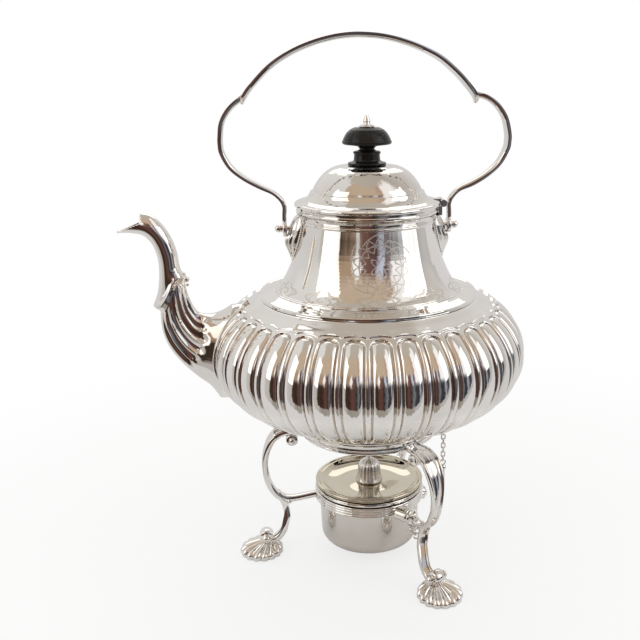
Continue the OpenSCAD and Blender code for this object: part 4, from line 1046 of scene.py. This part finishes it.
class KETTLE_OT_legs(bpy.types.Operator):
    """Bend the three scrolled legs with their curls, rolls and beads"""
    bl_idname = "kettle.legs"
    bl_label = "Legs"

    def execute(self, context):
        sizes = context.scene.kettle_sizes
        wide, thick = sizes.leg_width / MM, sizes.leg_thickness / MM
        out, low = SCROLL_OUT, RING_LOW
        outline = leg_outline()
        for name, angle in LEG_TURNS.items():
            arm_end = REED_OUT + 11 if name == "front" else REED_OUT - 0.3
            turn = Matrix.Rotation(math.radians(angle), 3, "Z")
            scroll = smooth_path([
                (RING_LOW_R + 0.6, low + 2, thick * 0.8, wide * 0.86),
                (RING_LOW_R + 8, low + 2, thick * 0.8, wide), (out - 11.5, low + 0.8, thick * 0.85, wide),
                (out - 6.4, low - 2.6, thick, wide), (out - 2.9, low - 8.4, thick * 1.05, wide * 0.92),
                (out - 0.5, low - 16, thick, wide * 0.76), (out, low - 24, thick * 0.95, wide * 0.62),
                (out - 1.2, low - 33, thick, wide * 0.52), (out - 4.6, low - 41, thick, wide * 0.48),
                (out - 9.6, low - 46, thick, wide * 0.46), (out - 17, low - 48, thick * 0.9, wide * 0.4),
                (arm_end, SOCKET_Z, thick * 0.85, wide * 0.34),
            ], 8)
            lower = smooth_path([
                (out - 7.6, low - 43, thick * 0.9, wide * 0.44), (out - 11.8, low - 50.5, thick, wide * 0.48),
                (out - 12.7, low - 58.4, thick, wide * 0.48),
                (FOOT_OUT - 18.2, SHELL_H + 10, thick * 0.95, wide * 0.48),
                (FOOT_OUT - 15, SHELL_H + 2.6, thick * 0.95, wide * 0.5),
                (FOOT_OUT - 10.4, SHELL_H - 1.8, thick * 0.9, wide * 0.56),
                (FOOT_OUT - 4.8, SHELL_H - 2.2, thick * 0.7, wide * 0.64)], 8)
            bm = bmesh.new()
            if name == "spout_side":
                # The top is forked round the kettle's lug
                fork = next(i for i, p in enumerate(scroll) if p[0] > TILT_X + 10.5 or i > 28)
                narrow = (wide - 4.6) / 2
                for side in (-1, 1):
                    tine = [(x, z, t, narrow * w / wide) for x, z, t, w in scroll[:fork + 1]]
                    sweep(bm, tine, outline, turn, shift=side * (2.3 + narrow / 2))
                sweep(bm, scroll[fork:], outline, turn)
                for side in (-1, 1):
                    ring = [
                        (1.55, -narrow / 2), (3.4, -narrow / 2), (3.9, -narrow / 2 + 0.5),
                        (3.9, narrow / 2 - 0.5), (3.4, narrow / 2), (1.55, narrow / 2),
                    ]
                    turned(bm, ring, turn @ Vector((TILT_X, side * (2.3 + narrow / 2), TILT_Z)),
                           turn @ Vector((0, 1, 0)))
            else:
                sweep(bm, scroll, outline, turn)
                roll(bm, (TILT_X, 0, TILT_Z), 3.9, wide - 1.2, turn, 1.6)
            sweep(bm, lower, outline, turn)
            roll(bm, (FOOT_OUT - 4, 0, SHELL_H + 0.6), 4.6, wide * 0.86 - 1.6, turn, 3.0)
            roll(bm, (out - 15.2, 0, low - 49.4), 2.0, wide * 0.5 - 0.8, turn, 1.2)
            stray(bm, name)
            add_piece(bm, "scroll_leg_" + name, "stand", "leg_" + name, crease=50)
        return {"FINISHED"}


# Share of a shell's reach, share of its height and depth of its ribs, from the table up to the roll
SHELL_LEVELS = [
    (1, 0, 0.9), (1.012, 0.05, 1), (1.012, 0.13, 1), (0.995, 0.22, 1), (0.95, 0.31, 1), (0.88, 0.39, 1),
    (0.79, 0.465, 1), (0.69, 0.525, 1), (0.58, 0.585, 0.9), (0.47, 0.645, 0.75), (0.36, 0.71, 0.55),
    (0.27, 0.775, 0.35), (0.2, 0.83, 0.2),
]


class KETTLE_OT_feet(bpy.types.Operator):
    """Press the three shell feet, ribbed from under the leg's roll to a scalloped edge"""
    bl_idname = "kettle.feet"
    bl_label = "Feet"

    def execute(self, context):
        sizes = context.scene.kettle_sizes
        ribs, radius = sizes.shell_ribs, sizes.shell_radius / MM
        columns = ribs * 10
        for name, angle in LEG_TURNS.items():
            turn = Matrix.Rotation(math.radians(angle), 3, "Z")
            rings = []
            for share, height, deep in SHELL_LEVELS:
                ring = []
                for k in range(columns):
                    t = k * 2 * math.pi / columns
                    crest = 2 * abs(math.cos(ribs * t / 2)) ** 0.8 - 1
                    r = radius * (1 + 0.055 * crest) * (1 - 0.06 * math.sin(t / 2) ** 2)
                    x = -4.5 + (3.5 + r * math.cos(t) + 1) * share - 1
                    y = r * math.sin(t) * share
                    z = height * SHELL_H + (0.65 * crest * deep if height > 0 else 0)
                    ring.append(turn @ Vector((FOOT_OUT + x, y, z)))
                rings.append(ring)
            bm = bmesh.new()
            loft(bm, rings)
            stray(bm, name)
            add_piece(bm, "shell_" + name, "stand", "foot_" + name, crease=55)
        return {"FINISHED"}


# Lamp

# Radius and height of the cover's section: stacked ridges under a rolled rim, two grooves, and a wide
# dish; and radius, height and depth of flutes of the snuffer's section, from its hollow's top round its
# foot to its button
COVER = [
    (32.0, 41.8), (32.5, 41.8), (32.5, 46.9), (34.9, 47.0), (35.5, 47.4), (35.6, 47.8), (35.0, 48.1),
    (35.0, 48.4), (35.8, 48.6), (36.1, 49.0), (36.0, 49.5), (35.5, 49.9), (34.9, 50.0), (34.3, 49.8),
    (34.0, 49.3), (33.5, 49.2), (33.2, 49.6), (32.6, 49.7), (32.0, 49.4), (31.0, 48.6), (28.5, 47.2),
    (25.0, 46.2), (20.0, 45.7), (14.0, 45.9), (8.5, 46.7), (6.1, 46.9), (6.1, 43.6), (26.0, 43.6),
    (31.0, 44.6),
]
SNUFFER = [
    (6.1, 59.4, 0), (6.1, 47.4, 0), (8.7, 47.4, 0), (9.0, 47.9, 0), (8.8, 48.6, 0.4), (8.3, 50.0, 0.8),
    (7.9, 52.4, 1), (7.6, 55.0, 1), (7.3, 57.6, 1), (6.8, 59.4, 0.8), (5.8, 60.8, 0.6), (4.2, 61.8, 0.3),
    (2.2, 62.3, 0), (1.5, 62.9, 0), (1.9, 63.6, 0), (1.5, 64.2, 0), (0.5, 64.5, 0),
]


class KETTLE_OT_lamp(bpy.types.Operator):
    """Spin the lamp's dished cover, its melon shaped snuffer and the socket that its arm goes into"""
    bl_idname = "kettle.lamp"
    bl_label = "Lamp"

    def execute(self, context):
        bm = bmesh.new()
        turned(bm, COVER, (0, 0, 0), (0, 0, 1), steps=128)
        add_piece(bm, "dished_cover", "lamp", "lamp_cover", slot="lamp_plate", finish="plate_cover",
                  crease=50)
        flutes = [0.5 * (1 - abs(math.sin(k * math.pi / 8))) for k in range(128)]
        bm = bmesh.new()
        loft(bm, [[round_axis(r - cut * flute, k * math.pi / 64, z) for k, cut in enumerate(flutes)]
                  for r, z, flute in SNUFFER])
        add_piece(bm, "melon_snuffer", "lamp_snuffer", "snuffer", slot="lamp_plate", finish="plate_snuffer",
                  crease=60)
        near, far = Vector((14.5, -34.1, SOCKET_Z)), Vector((22.9, -40.5, SOCKET_Z - 0.9))
        barrel = [
            (0, 0), (4.3, 0), (4.3, 6.4), (5.3, 6.8), (5.5, 7.4), (5.3, 8.0), (4.7, 8.4), (5.3, 8.8),
            (5.5, 9.4), (5.3, 10.0), (4.4, 10.4), (0, 10.4),
        ]
        bm = bmesh.new()
        turned(bm, barrel, near, far - near)
        add_piece(bm, "socket_barrel", "stand", crease=50)
        turn = Matrix.Rotation(math.radians(LEG_TURNS["front"]), 3, "Z")
        first, last = turn @ Vector((43.5, 0, 33.4)), turn @ Vector((50.5, 0, 27.0))
        bm = bmesh.new()
        for k in range(5):
            middle = first + (last - first) * k / 4
            across = turn @ Vector((0.35, 1, 0.35)) if k % 2 else turn @ Vector((0.67, -0.5, 0.73))
            turned(bm, wire_section(1.75, 0, 0.55), middle, across, steps=24)
        add_piece(bm, "socket_links", "stand", "lamp_chain", doubles=1e-4)
        return {"FINISHED"}


class KETTLE_PT_panel(bpy.types.Panel):
    """Lists the steps that finish the kettle"""
    bl_idname = "KETTLE_PT_panel"
    bl_label = "Spirit kettle"
    bl_space_type = "VIEW_3D"
    bl_region_type = "UI"
    bl_category = "Kettle"

    def draw(self, context):
        layout = self.layout
        for settings in (context.scene.kettle_sizes, context.scene.kettle_finish):
            for key in settings.__annotations__:
                layout.prop(settings, key)
        for operator in OPERATORS:
            layout.operator(operator.bl_idname)


OPERATORS = (KETTLE_OT_stage, KETTLE_OT_plate, KETTLE_OT_belly, KETTLE_OT_spout, KETTLE_OT_ears,
             KETTLE_OT_shoulder_reeds, KETTLE_OT_handle, KETTLE_OT_legs, KETTLE_OT_feet,
             KETTLE_OT_lamp)
CLASSES = (KettleSizes, KettleFinish, *OPERATORS, KETTLE_PT_panel)


def register():
    for item in CLASSES:
        bpy.utils.register_class(item)
    bpy.types.Scene.kettle_sizes = bpy.props.PointerProperty(type=KettleSizes)
    bpy.types.Scene.kettle_finish = bpy.props.PointerProperty(type=KettleFinish)


def unregister():
    del bpy.types.Scene.kettle_finish
    del bpy.types.Scene.kettle_sizes
    for item in reversed(CLASSES):
        bpy.utils.unregister_class(item)


def main():
    register()
    bpy.ops.kettle.stage()
    bpy.ops.kettle.plate()
    bpy.ops.kettle.belly()
    bpy.ops.kettle.spout()
    bpy.ops.kettle.ears()
    bpy.ops.kettle.shoulder_reeds()
    bpy.ops.kettle.handle()
    bpy.ops.kettle.legs()
    bpy.ops.kettle.feet()
    bpy.ops.kettle.lamp()


if __name__ == "__main__":
    main()
